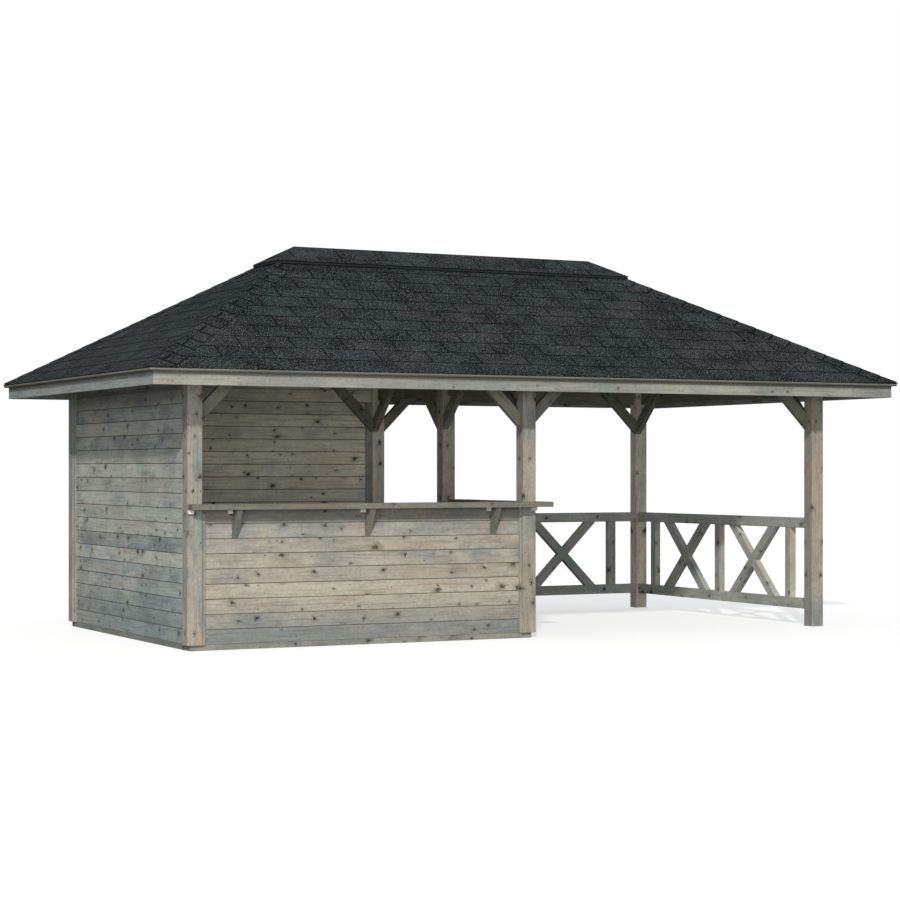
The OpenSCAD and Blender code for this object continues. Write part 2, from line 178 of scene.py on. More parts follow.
class Shader:
    """The node tree of a material or world, and the few nodes that the finishes share."""

    def __init__(self, owner: Union[Material, bpy.types.World]) -> None:
        """Start with an empty tree.

        Args:
            owner: The new material or world.
        """
        self.owner = owner
        owner.use_nodes = True
        self.tree = owner.node_tree
        self.tree.nodes.clear()

    def add(self, kind: str, settings: Optional[dict[str, Any]] = None,
            sockets: Optional[dict[Union[str, int], Any]] = None) -> Made:
        """Add a node of any type.

        Args:
            kind: The node's type.
            settings: Its own settings, set first.
            sockets: Values or links of its inputs, by name or place.

        Returns:
            The new node.
        """
        node = self.tree.nodes.new(kind)
        for key, value in (settings or {}).items():
            setattr(node, key, value)
        for key, value in (sockets or {}).items():
            socket = node.inputs[key]
            if isinstance(value, Val):
                self.tree.links.new(value.socket, socket)
            elif isinstance(value, tuple) and socket.type == "RGBA":
                socket.default_value = (*value, 1.0)
            else:
                socket.default_value = value
        return Made(self, node)

    def mix(self, factor: Number, first: Union[Val, Colour], second: Union[Val, Colour]) -> Val:
        """Mix two colours.

        Args:
            factor: 0 gives the first colour and 1 the second.
            first, second: The colours.

        Returns:
            The mixed colour.
        """
        made = self.add("ShaderNodeMix", {"data_type": "RGBA", "clamp_factor": True},
                        {0: factor, 6: first, 7: second})
        return made[2]

    def scaled(self, colour: Val, amount: Number) -> Val:
        """Make a colour lighter or darker by a factor."""
        made = self.add("ShaderNodeVectorMath", {"operation": "SCALE"}, {0: colour, "Scale": amount})
        return made["Vector"]

    def vector(self, x: Number, y: Number, z: Number = 0.0) -> Val:
        """Join three values to a vector."""
        return self.add("ShaderNodeCombineXYZ", {}, {"X": x, "Y": y, "Z": z})["Vector"]

    def parts(self, vector: Val) -> tuple[Val, Val, Val]:
        """Split a vector into its three values."""
        made = self.add("ShaderNodeSeparateXYZ", {}, {"Vector": vector})
        return made["X"], made["Y"], made["Z"]

    def place(self) -> Val:
        """Object coordinates, in metres in the shared frame."""
        return self.add("ShaderNodeTexCoord")["Object"]

    def attribute(self, name: str) -> Val:
        """A vector that the piece's mesh carries."""
        return self.add("ShaderNodeAttribute", {"attribute_name": name})["Vector"]

    def noise(self, vector: Val, scale: float, detail: float = 2.0, rough: float = 0.5) -> Val:
        """Soft noise around one half.

        Args:
            vector: Where to read it.
            scale: Its scale.
            detail: Number of finer layers.
            rough: How strong the finer layers are.

        Returns:
            The noise value.
        """
        made = self.add("ShaderNodeTexNoise", {}, {
            "Vector": vector, "Scale": scale, "Detail": detail, "Roughness": rough})
        return made["Fac"]

    def finish(self, colour: Val, roughness: Number, height: Val, strength: float, depth: float,
               specular: float = 0.3) -> Material:
        """Close the tree with a Principled shader.

        Args:
            colour: Base colour.
            roughness: Roughness.
            height: Height that gives the bumps.
            strength: Strength of the bumps.
            depth: Depth of the bumps in metres.
            specular: Level of the gloss.

        Returns:
            The finished material.
        """
        bump = self.add("ShaderNodeBump", {}, {"Height": height, "Strength": strength, "Distance": depth})
        made = self.add("ShaderNodeBsdfPrincipled", {}, {
            "Base Color": colour, "Roughness": roughness, "Normal": bump["Normal"],
            "Specular IOR Level": specular})
        self.add("ShaderNodeOutputMaterial", {}, {"Surface": made["BSDF"]})
        return self.owner


# Finishes


class Grain(Enum):
    """Where a timber finds the direction of its grain."""

    BOARD = "the piece's own grain attribute"
    ALONG_X = "along the building"
    ALONG_Y = "across the building"
    UPRIGHT = "upright"
    LONG_SLOPE = "up the long slopes"
    END_SLOPE = "up the short slopes"
    HIP = "up the hips"


@dataclass(frozen=True)
class Tones:
    """Colours that a weathered timber drifts between."""

    pale: Colour
    grey: Colour
    cool: Colour
    warm: Colour = linear(163, 147, 128)


def tones(*levels: tuple[int, int, int]) -> Tones:
    """Tones from colours as seen on a screen, in the order of the fields."""
    return Tones(*(linear(*level) for level in levels))


@dataclass(frozen=True)
class WoodFinish:
    """Weathered softwood: fibres, growth lines, knots, pin knots and grey stains, with painted shade beyond a
    given height where asked.
    """

    name: str
    grain: Grain
    tones: Tones
    spread: float = 0.18
    stain: float = 0.75
    splash: float = 0.0
    # The height band and its strength paint shade: the colour turns towards the dark tone beyond a height,
    # where eaves, a counter or a deck edge shade the timber.
    shade_heights: tuple[float, float] = (0.0, 1.0)
    shade_amount: float = 0.0
    knots: float = 1.0
    contrast: float = 1.0
    dark: Colour = linear(74, 70, 61)
    knot: Colour = linear(50, 43, 36)
    heart: Colour = linear(104, 80, 58)
    cell: float = 0.5

    def _coordinates(self, sh: Shader) -> tuple[Val, Val, Val, Val]:
        """Find the place along, across and through a timber, and a random vector of its own.

        Args:
            sh: The shader that is being made.

        Returns:
            Along, across and through in metres, and three random values of the timber.
        """
        if self.grain is Grain.BOARD:
            along, across, through = sh.parts(sh.attribute("grain"))
            return along, across, through, sh.attribute("board")
        x, y, z = sh.parts(sh.place())
        if self.grain is Grain.ALONG_X:
            along, across, through, spot = x, y, z, sh.vector((y / self.cell).rounded(), 3.0)
        elif self.grain is Grain.ALONG_Y:
            along, across, through, spot = y, x, z, sh.vector((x / self.cell).rounded(), 7.0)
        elif self.grain is Grain.UPRIGHT:
            along, across, through = z, x, y
            spot = sh.vector((x / self.cell).rounded(), (y / self.cell).rounded())
        elif self.grain is Grain.LONG_SLOPE:
            along, through = self._sloped(abs(y), z, PITCH)
            across, spot = x, sh.vector((x / 0.6).rounded(), y.sign())
        elif self.grain is Grain.END_SLOPE:
            along, through = self._sloped(abs(x), z, PITCH)
            across, spot = y, sh.vector((y / self.cell).rounded(), x.sign())
        else:
            out, side, slant = abs(x) - RIDGE_HALF, abs(y), math.sqrt(0.5)
            along, through = self._sloped((out + side) * slant, z, math.atan(math.tan(PITCH) * slant))
            across, spot = (out - side) * slant, sh.vector(x.sign(), y.sign())
        random = sh.add("ShaderNodeTexWhiteNoise", {"noise_dimensions": "3D"}, {"Vector": spot})["Color"]
        first, second, third = sh.parts(random)
        return along + first * 17.0, across + second * 5.0, through + third * 5.0, random

    @staticmethod
    def _sloped(out: Val, up: Val, pitch: float) -> tuple[Val, Val]:
        """Turn a run outwards and a height into distances along and through a sloping timber."""
        along = out * math.cos(pitch) - up * math.sin(pitch)
        return along, out * math.sin(pitch) + up * math.cos(pitch)

    def make(self) -> Material:
        """Make the material.

        Returns:
            The finished material.
        """
        sh = Shader(bpy.data.materials.new(self.name))
        along, across, through, random = self._coordinates(sh)
        tone, tint, _ = sh.parts(random)
        place = sh.place()
        _, _, height_up = sh.parts(place)

        core, halo, rings, heart, pin = self._knots(sh, along, across + through)
        sway = sh.noise(sh.vector(along * 1.1, across * 4.0, through * 4.0), 1.0, 2.0) - 0.5
        pushed = across + sway * 0.035 + halo * 0.012
        lines = sh.noise(sh.vector(along * 2.4, pushed * 80.0, through * 80.0), 1.0, 4.0, 0.62)
        fibre = sh.noise(sh.vector(along * 12.0, across * 380.0, through * 380.0), 1.0, 2.0)
        smudge = sh.noise(sh.vector(along * 7.0, across * 22.0, through * 22.0), 1.0, 4.0, 0.6)
        grime = sh.noise(place, 38.0, 4.0, 0.7)
        cloud = sh.noise(place, 1.6, 4.0, 0.6)
        blush = sh.noise(sh.vector(along * 1.8 + 4.0, across * 5.0, through * 5.0), 1.0, 3.0)
        mould = sh.noise(sh.vector(along * 2.8 + 9.0, across * 8.0, through * 8.0), 1.0, 5.0, 0.65)

        colour = sh.mix((cloud + tint * 0.22 - 0.11).ramp(0.38, 0.62), self.tones.pale, self.tones.grey)
        colour = sh.mix(blush.ramp(0.48, 0.66) * 0.65, colour, self.tones.warm)
        damp = height_up.ramp(0.50, 0.06) * self.splash
        cooling = (mould + cloud * 0.4 + tint * 0.16 - 0.28).ramp(0.44, 0.72) * self.stain
        colour = sh.mix((cooling + damp).at_most(0.9), colour, self.tones.cool)
        # Painted shade: darker beyond the given height, standing for the shade under an eave, counter or deck
        # edge.
        if self.shade_amount:
            colour = sh.mix(height_up.ramp(*self.shade_heights) * self.shade_amount, colour, self.dark)
        colour = sh.scaled(colour, 1.0 - self.spread / 2 + tone * self.spread)
        colour = sh.scaled(colour, 0.80 + smudge * 0.40)
        colour = sh.scaled(colour, 0.66 + grime * 0.68)
        colour = sh.mix(lines.ramp(0.52, 0.32) * (0.34 * self.contrast), colour, self.dark)
        colour = sh.scaled(colour, 0.92 + fibre * 0.16)
        colour = sh.scaled(colour, 1.0 + rings * 1.3)
        colour = sh.mix(halo * 0.30, colour, self.tones.cool)
        colour = sh.mix(halo * halo * 0.38, colour, self.dark)
        colour = sh.mix(core * 0.88, colour, self.knot)
        colour = sh.mix(heart * 0.75, colour, self.heart)
        colour = sh.mix(pin * 0.80, colour, self.knot)

        roughness = 0.72 + lines * 0.18 - core * 0.12
        height = lines * 0.7 + fibre * 0.3 - core * 0.4
        return sh.finish(colour, roughness, height, 0.30, 0.0016)

    def _knots(self, sh: Shader, along: Val, face: Val) -> tuple[Val, Val, Val, Val, Val]:
        """Scatter ragged knots over the faces of a timber.

        Args:
            sh: The shader that is being made.
            along: Place along the grain.
            face: Place round the section.

        Returns:
            The knots' cores, the stains and rings round them, brown hearts of the big ones, and pin knots.
        """
        bent = sh.noise(sh.vector(along * 14.0, face * 18.0), 1.0, 3.0, 0.6) - 0.5
        spot = sh.vector(along * 6.4 + bent * 0.20, face * 8.3 + bent * 0.24)
        cells = sh.add("ShaderNodeTexVoronoi", {"voronoi_dimensions": "2D"}, {"Vector": spot, "Scale": 1.0})
        chance, size, _ = sh.parts(cells["Color"])
        away = sh.add("ShaderNodeVectorMath", {"operation": "SUBTRACT"}, {0: spot, 1: cells["Position"]})
        way = sh.add("ShaderNodeVectorMath", {"operation": "NORMALIZE"}, {0: away["Vector"]})
        out, up, _ = sh.parts(way["Vector"])
        spike = sh.noise(sh.vector(out * 1.2, up * 1.2, chance * 60.0), 1.0, 2.0, 0.6).ramp(0.30, 0.70)
        rag = sh.noise(sh.vector(along * 60.0, face * 85.0), 1.0, 2.0) - 0.5
        near = (cells["Distance"] + rag * 0.08) / (0.55 + spike * 0.9)
        here = chance.ramp(0.64, 0.66)
        radius = (0.070 + size * size * size * 0.15) * self.knots
        core = near.ramp(radius, radius * 0.40) * here
        halo = near.ramp(radius * 3.6, radius * 0.4) * here
        rings = (sh.noise(sh.vector(near * 13.0, chance * 50.0), 1.0, 1.0) - 0.5) * halo
        heart = near.ramp(radius * 0.75, radius * 0.5) * here * size.ramp(0.80, 0.86)
        pins = sh.add("ShaderNodeTexVoronoi", {"voronoi_dimensions": "2D"}, {
            "Vector": sh.vector(along * 5.0 + 3.3 + bent * 0.1, face * 9.0 + 1.7), "Scale": 1.0})
        few, _, _ = sh.parts(pins["Color"])
        pin = pins["Distance"].ramp(0.055, 0.02) * few.ramp(0.80, 0.82) * min(self.knots, 1.0)
        return core, halo, rings, heart, pin


@dataclass(frozen=True)
class ShingleFinish:
    """Bitumen shingles with mineral granules, in patches of charcoal, green and violet grey, with painted shade
    below each lapping edge and in the slots.
    """

    name: str
    charcoal: Colour = linear(38, 45, 47)
    green: Colour = linear(33, 46, 45)
    violet: Colour = linear(45, 47, 52)
    fleck: Colour = linear(150, 157, 157)
    pit: Colour = linear(12, 14, 15)
    # Colour and strengths of the painted shade: a line just below where the next course laps, and the covered
    # part that shows in the slots.
    shade_colour: Colour = linear(12, 13, 14)
    line: float = 0.62
    line_from: float = 0.94
    covered: float = 0.92

    def make(self) -> Material:
        """Make the material.

        Returns:
            The finished material.
        """
        sh = Shader(bpy.data.materials.new(self.name))
        place = sh.place()
        _, up, chance = sh.parts(sh.attribute("tab"))
        wide = sh.noise(place, 0.75, 3.0, 0.6)
        other = sh.noise(sh.add("ShaderNodeVectorMath", {"operation": "ADD"},
                                {0: place, 1: (7.0, 3.0, 11.0)})["Vector"], 1.1, 3.0, 0.6)
        colour = sh.mix((wide + chance * 0.16 - 0.08).ramp(0.47, 0.60), self.charcoal, self.green)
        colour = sh.mix((other + chance * 0.18 - 0.09).ramp(0.49, 0.60), colour, self.violet)
        blotch = sh.noise(place, 3.6, 4.0, 0.62)
        colour = sh.scaled(colour, 0.24 + blotch.ramp(0.30, 0.70) * 1.00 + chance * 0.32)
        grit = sh.noise(place, 104.0, 1.0, 0.5)
        fine = sh.noise(place, 330.0, 1.0)
        colour = sh.mix(grit.ramp(0.54, 0.70) * 0.38, colour, self.fleck)
        colour = sh.mix(grit.ramp(0.49, 0.34) * 0.68, colour, self.pit)
        colour = sh.scaled(colour, 0.72 + fine * 0.56)
        # Painted shade: a dark line just below the next course's lower edge, and near black on the covered part
        # that shows through the slots.
        painted_shade = up.ramp(self.line_from, 0.5 + self.line_from / 2) * self.line
        painted_shade = painted_shade + up.ramp(1.0, 1.02) * (self.covered - self.line)
        colour = sh.mix(painted_shade, colour, self.shade_colour)
        height = grit * 0.7 + fine * 0.3
        return sh.finish(colour, 0.90 + fine * 0.08, height, 0.55, 0.002, 0.06)


@dataclass(frozen=True)
class SpeckledFinish:
    """An even surface with fine specks, such as cut bitumen or dull steel."""

    name: str
    dark: Colour
    light: Colour
    scale: float = 160.0
    detail: float = 2.0
    rough: tuple[float, float] = (0.8, 0.15)
    bump: tuple[float, float] = (0.4, 0.001)
    specular: float = 0.2

    def make(self) -> Material:
        """Make the material.

        Returns:
            The finished material.
        """
        sh = Shader(bpy.data.materials.new(self.name))
        specks = sh.noise(sh.place(), self.scale, self.detail, 0.6)
        colour = sh.mix(specks, self.dark, self.light)
        least, more = self.rough
        return sh.finish(colour, least + specks * more, specks, *self.bump, self.specular)


# Workbench: Blender's own tools, each acting on one piece


def deselect() -> None:
    """Leave edit mode and select nothing."""
    if bpy.context.object is not None and bpy.context.object.mode != "OBJECT":
        bpy.ops.object.mode_set(mode="OBJECT")
    bpy.ops.object.select_all(action="DESELECT")


def pick(obj: Piece) -> None:
    """Select one piece alone and make it active.

    Args:
        obj: The piece.
    """
    deselect()
    obj.select_set(True)
    bpy.context.view_layer.objects.active = obj


@contextmanager
def editing(obj: Piece) -> Iterator[None]:
    """Open one piece in edit mode, and close it again.

    Args:
        obj: The piece.

    Returns:
        A context in which the piece is open.
    """
    pick(obj)
    bpy.ops.object.mode_set(mode="EDIT")
    yield
    bpy.ops.object.mode_set(mode="OBJECT")


def settle(obj: Piece) -> Piece:
    """Put a piece's place, turn and size into its mesh.

    Args:
        obj: The piece.

    Returns:
        The same piece.
    """
    pick(obj)
    bpy.ops.object.transform_apply(location=True, rotation=True, scale=True)
    return obj


def block(name: str, low: Sequence[float], high: Sequence[float]) -> Piece:
    """Start a timber as a box between two corners.

    Args:
        name: Name of the piece.
        low, high: The two corners.

    Returns:
        The new piece, still to be shaped.
    """
    deselect()
    first, last = Vector(low), Vector(high)
    bpy.ops.mesh.primitive_cube_add(size=1.0, location=(first + last) / 2, scale=last - first)
    obj = bpy.context.object
    obj.name = name
    return settle(obj)


def ease(obj: Piece, width: float, steps: int,
         wanted: Callable[[Vector, Vector], bool]) -> None:
    """Bevel the edges that a test picks.

    Args:
        obj: The piece.
        width: Width of the bevel.
        steps: Number of its faces.
        wanted: Test on the two ends of an edge.
    """
    mesh = obj.data
    mesh.polygons.foreach_set("select", [False] * len(mesh.polygons))
    mesh.vertices.foreach_set("select", [False] * len(mesh.vertices))
    for edge in mesh.edges:
        ends = [mesh.vertices[i] for i in edge.vertices]
        edge.select = wanted(ends[0].co, ends[1].co)
        for end in ends:
            end.select = end.select or edge.select
    bpy.context.tool_settings.mesh_select_mode = (False, True, False)
    with editing(obj):
        bpy.ops.mesh.bevel(offset=width, segments=steps, affect="EDGES")


def along_axis(axis: int) -> Callable[[Vector, Vector], bool]:
    """Test for the edges that run along one axis, for the bevels of a timber's long edges."""
    return lambda first, last: abs((last - first).normalized()[axis]) > 0.99


def cut(obj: Piece, point: Sequence[float], normal: Sequence[float], away: bool = True) -> None:
    """Saw a piece through, and take away the side that the normal points to.

    Args:
        obj: The piece.
        point: A point of the cut.
        normal: Direction of the side that goes.
        away: Whether that side goes, or only a line of edges is left.
    """
    with editing(obj):
        bpy.ops.mesh.select_all(action="SELECT")
        bpy.ops.mesh.bisect(plane_co=Vector(point), plane_no=Vector(normal), use_fill=away, clear_outer=away)


def repeat(obj: Piece, count: int, step: Sequence[float]) -> None:
    """Lay copies of a piece in a row, as one mesh.

    Args:
        obj: The piece.
        count: Number in the row.
        step: Distance from one to the next.
    """
    pick(obj)
    row = obj.modifiers.new("row", "ARRAY")
    row.use_relative_offset = False
    row.use_constant_offset = True
    row.constant_offset_displace = step
    row.count = count
    bpy.ops.object.modifier_apply(modifier=row.name)


def copied(obj: Piece, matrix: Matrix) -> Piece:
    """Copy a piece with a mesh of its own, and move the copy.

    Args:
        obj: The piece.
        matrix: Where the copy goes.

    Returns:
        The copy, with its place in its mesh.
    """
    twin = obj.copy()
    twin.data = obj.data.copy()
    bpy.context.scene.collection.objects.link(twin)
    twin.matrix_world = matrix
    return settle(twin)


def joined(name: str, parts: Sequence[Piece]) -> Piece:
    """Join pieces to one.

    Args:
        name: Name of the whole.
        parts: The pieces.

    Returns:
        The joined piece.
    """
    deselect()
    for part in parts:
        part.select_set(True)
    bpy.context.view_layer.objects.active = parts[0]
    if len(parts) > 1:
        bpy.ops.object.join()
    whole = bpy.context.view_layer.objects.active
    whole.name = name
    whole.data.name = name
    return whole


def scrap(obj: Piece) -> None:
    """Throw a template away."""
    bpy.data.objects.remove(obj)


def points(obj: Piece) -> np.ndarray:
    """Read all corners of a piece's mesh.

    Args:
        obj: The piece.

    Returns:
        One row of three for each corner.
    """
    flat = np.empty(len(obj.data.vertices) * 3, np.float32)
    obj.data.vertices.foreach_get("co", flat)
    return flat.reshape(-1, 3)


def mark(obj: Piece, name: str, values: np.ndarray) -> None:
    """Write one vector for each corner of a mesh.

    Args:
        obj: The piece.
        name: Name of the attribute.
        values: One row of three for each corner.
    """
    made = obj.data.attributes.get(name) or obj.data.attributes.new(name, "FLOAT_VECTOR", "POINT")
    made.data.foreach_set("vector", np.asarray(values, np.float32).ravel())


def lay_grain(obj: Piece, along: Sequence[float], across: Sequence[float], seed: int,
              step: Sequence[float] = ORIGIN, start: float = 0.0, pitch: float = 1.0) -> None:
    """Give a timber, or a row of boards, its grain and its own random values.

    Args:
        obj: The piece.
        along: Direction of the grain.
        across: Direction across the board's face.
        seed: Seed of the random values.
        step: Direction from one board to the next.
        start: Where the row starts in that direction.
        pitch: Distance from one board to the next.
    """
    co = points(obj)
    run, side = Vector(along).normalized(), Vector(across).normalized()
    deep = run.cross(side)
    places = np.stack([co @ np.array(v) for v in (run, side, deep)], axis=1)
    number = np.floor((co @ np.array(step) - start) / pitch + 1e-4).astype(int)
    number -= number.min()
    chance = np.random.default_rng(seed).random((number.max() + 1, 3))
    own = chance[number]
    mark(obj, "grain", places + own * np.array([17.0, 5.0, 5.0]))
    mark(obj, "board", own)


def dress(obj: Piece, *materials: Material) -> None:
    """Give a piece its materials.

    Args:
        obj: The piece.
        materials: Its materials, in the order of its slots.
    """
    obj.data.materials.clear()
    for material in materials:
        obj.data.materials.append(material)


def hand_over(obj: Piece, slot: str, *nodes: str) -> None:
    """Make a piece ride on the building and stand for its solids.

    Args:
        obj: The piece.
        slot: Name of a material slot; not used.
        nodes: The solids that it stands for.
    """
    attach(obj, BODY)
    if nodes:
        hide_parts(*nodes)
    log.info("%s: %d faces", obj.name, len(obj.data.polygons))


# Walls


class Run(Enum):
    """Which way a wall or railing runs."""

    ALONG = 0
    ACROSS = 1


@dataclass
class BoardWall:
    """A wall of level boards with eased joints on both faces."""

    node: str
    run: Run
    seed: int
    inner: float
    pitch: float = BOARD_PITCH
    gap: float = BOARD_GAP
    joint: float = BOARD_JOINT
    tongue: float = 0.006
    tongue_bevel: float = 0.001
    tongue_seed: int = 50

    def build(self) -> Piece:
        """Model one board, stack it and close the wall with a board that takes up the rest.

        Returns:
            The wall.
        """
        low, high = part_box(self.node)
        count = math.floor((high.z - low.z) / self.pitch)
        stack = self._board(low, Vector((high.x, high.y, low.z + self.pitch - self.gap)))
        repeat(stack, count, (0.0, 0.0, self.pitch))
        last = self._board(Vector((low.x, low.y, low.z + count * self.pitch)), high)
        wall = joined(self.node + "_boards", [stack, last])
        lay_grain(wall, AXES[self.run.value], UP, self.seed, UP, low.z, self.pitch)
        return joined(wall.name, [wall, self._tongues(low, high)])

    def _board(self, low: Vector, high: Vector) -> Piece:
        """One board with its long edges eased.

        Args:
            low, high: Its corners.

        Returns:
            The board.
        """
        board = block("board", low, high)
        ease(board, self.joint, 2, along_axis(self.run.value))
        return board

    def _tongues(self, low: Vector, high: Vector) -> Piece:
        """Close the joints with the tongues that run from board to board.

        Args:
            low, high: Corners of the wall.

        Returns:
            The tongues, as one core inside the wall.
        """
        deep = 1 - self.run.value
        first, last = low.copy(), high.copy()
        middle = (low[deep] + high[deep]) / 2
        first[deep], last[deep] = middle - self.tongue / 2, middle + self.tongue / 2
        first.z, last.z = low.z + self.gap, high.z - self.gap
        core = block("tongues", first, last)
        ease(core, self.tongue_bevel, 1, along_axis(self.run.value))
        lay_grain(core, AXES[self.run.value], UP, self.seed + self.tongue_seed)
        return core

    def dress(self, wall: Piece, outside: Material, inside: Material,
              joints: Material) -> None:
        """Give the boards their finishes, a lighter one indoors as painted light for the shaded inside, and
        hand the wall over.

        Args:
            wall: The wall.
            outside, inside: Finishes of its outer and inner faces.
            joints: Finish of the tongues and of the edges that face down: dark joints, and painted shade on the
                faces that face down.
        """
        dress(wall, outside, inside, joints)
        low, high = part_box(self.node)
        deep = 1 - self.run.value
        middle, half = (low[deep] + high[deep]) / 2, (high[deep] - low[deep]) / 2
        for face in wall.data.polygons:
            off = face.center[deep] - middle
            # Faces that face down take the dark joint finish as painted shade; the tongues' sides take it as
            # dark joints.
            if face.normal.z < -0.2 or (face.normal.z < 0.9 and abs(off) < half * 0.5):
                face.material_index = 2
            else:
                face.material_index = int(off * self.inner > 0.001)
        hand_over(wall, "wall_boards", self.node)


@dataclass
class HeaderBoards:
    """Boards that carry the back wall up over the header indoors, fitted round the braces."""

    left: float = -INNER_X
    right: float = -POST_HALF
    bottom: float = 2.0724
    top: float = 2.262
    pitch: float = BOARD_PITCH
    gap: float = BOARD_GAP
    thick: float = 0.008
    brace_tip: float = BRACE_TIP
    brace_cut: float = 0.1344
    seed: int = 90

    def build(self) -> Piece:
        """Model the boards once and saw a copy for each side of the two braces.

        Returns:
            The boards.
        """
        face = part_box("back_header")[0].y
        boards = block("header_board", (self.left, face - self.thick, self.bottom),
                       (self.right, face, self.bottom + self.pitch - self.gap))
        ease(boards, BOARD_JOINT, 2, along_axis(0))
        repeat(boards, 2, (0.0, 0.0, self.pitch))
        cut(boards, (0.0, 0.0, self.top), UP)
        lay_grain(boards, X_WAY, UP, self.seed, UP, self.bottom, self.pitch)
        middle, near, far = boards, copied(boards, HERE), copied(boards, HERE)
        cut(middle, (self.left, 0.0, self.brace_tip), (-1.0, 0.0, 1.0))
        cut(middle, (self.right, 0.0, self.brace_tip), (1.0, 0.0, 1.0))
        cut(near, (self.left, 0.0, self.brace_tip + self.brace_cut), (1.0, 0.0, -1.0))
        cut(far, (self.right, 0.0, self.brace_tip + self.brace_cut), (-1.0, 0.0, -1.0))
        return joined("back_header_boards", [middle, near, far])

    def dress(self, boards: Piece, wood: Material, joints: Material) -> None:
        """Give the boards their finishes and hand them over.

        Args:
            boards: The boards.
            wood: Finish of the faces.
            joints: Finish of the edges that face down, a dark tone that is painted shade there.
        """
        dress(boards, wood, joints)
        # Faces that face down get the dark tone as painted shade.
        for face in boards.data.polygons:
            face.material_index = int(face.normal.z < -0.2)
        hand_over(boards, "wall_boards")


# Railings


@dataclass
class Railing:
    """Two rails, three balusters and two crosses, each a timber with eased edges."""

    length: float = 2.876
    low: float = 0.152
    high: float = 0.984
    rail: float = 0.094
    deep: float = 0.066
    baluster: float = 0.085
    near: float = 0.238
    bevel: float = 0.004
    inset: float = 0.002
    arm_insets: tuple[float, float] = (0.005, 0.003)
    blank_half: float = 0.75
    seed: int = 41

    def _bar(self, low: Sequence[float], high: Sequence[float], axis: int, seed: int) -> Piece:
        """One straight timber with eased long edges and grain along its axis.

        Args:
            low, high: Its corners.
            axis: The axis it runs along.
            seed: Seed of its random values.

        Returns:
            The timber.
        """
        bar = block("rail_bar", low, high)
        ease(bar, self.bevel, 2, along_axis(axis))
        lay_grain(bar, AXES[axis], UP if axis == 0 else X_WAY, seed)
        return bar

    def _arm(self, middle: float, lean: float, inset: float, seed: int) -> Piece:
        """One arm of a cross, sawn level on both rails.

        Args:
            middle: Where the cross has its middle.
            lean: 1 to lean right, -1 to lean left.
            inset: How far its faces stand behind the rails' faces.
            seed: Seed of its random values.

        Returns:
            The arm.
        """
        half, wide = self.blank_half, self.baluster / 2
        centre = (self.low + self.high) / 2
        arm = block("cross_arm", (-half, inset, -wide), (half, self.deep - inset, wide))
        ease(arm, self.bevel, 2, along_axis(0))
        turn = Matrix.Rotation(-lean * math.radians(45), 4, "Y")
        arm.matrix_world = Matrix.Translation((middle, 0.0, centre)) @ turn
        settle(arm)
        cut(arm, (0.0, 0.0, self.high - self.rail), UP)
        cut(arm, (0.0, 0.0, self.low + self.rail), (0.0, 0.0, -1.0))
        lay_grain(arm, (1.0, 0.0, lean), (-lean, 0.0, 1.0), seed)
        return arm

    def build(self) -> Piece:
        """Model the railing along X from the origin.

        Returns:
            The railing.
        """
        seeds = itertools.count(self.seed)
        top, foot = self.high - self.rail, self.low + self.rail
        parts = [self._bar((0.0, 0.0, low), (self.length, self.deep, high), 0, next(seeds))
                 for low, high in ((self.low, foot), (top, self.high))]
        edge = self.near + self.baluster
        for x in (self.near, (self.length - self.baluster) / 2, self.length - edge):
            far = (x + self.baluster, self.deep - self.inset, top)
            parts.append(self._bar((x, self.inset, foot), far, 2, next(seeds)))
        middle = (edge + self.length / 2 - self.baluster / 2) / 2
        for place in (middle, self.length - middle):
            for lean, inset in zip((1.0, -1.0), self.arm_insets):
                parts.append(self._arm(place, lean, inset, next(seeds)))
        return joined("railing", parts)

    def dress(self, railing: Piece, timber: Material) -> None:
        """Place the two railings, give them their finish and hand them over.

        Args:
            railing: The railing along X, which is copied and then scrapped.
            timber: Finish of the timbers.
        """
        dress(railing, timber)
        places = {"back_railing": HERE, "right_railing": Matrix.Rotation(math.pi / 2, 4, "Z")}
        for node, turn in places.items():
            low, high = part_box(node)
            start = low if node == "back_railing" else Vector((high.x, low.y, low.z))
            twin = copied(railing, Matrix.Translation((start.x, start.y, 0.0)) @ turn)
            twin.name = node + "_timbers"
            hand_over(twin, "rail_timber", node)
        scrap(railing)


# Braces


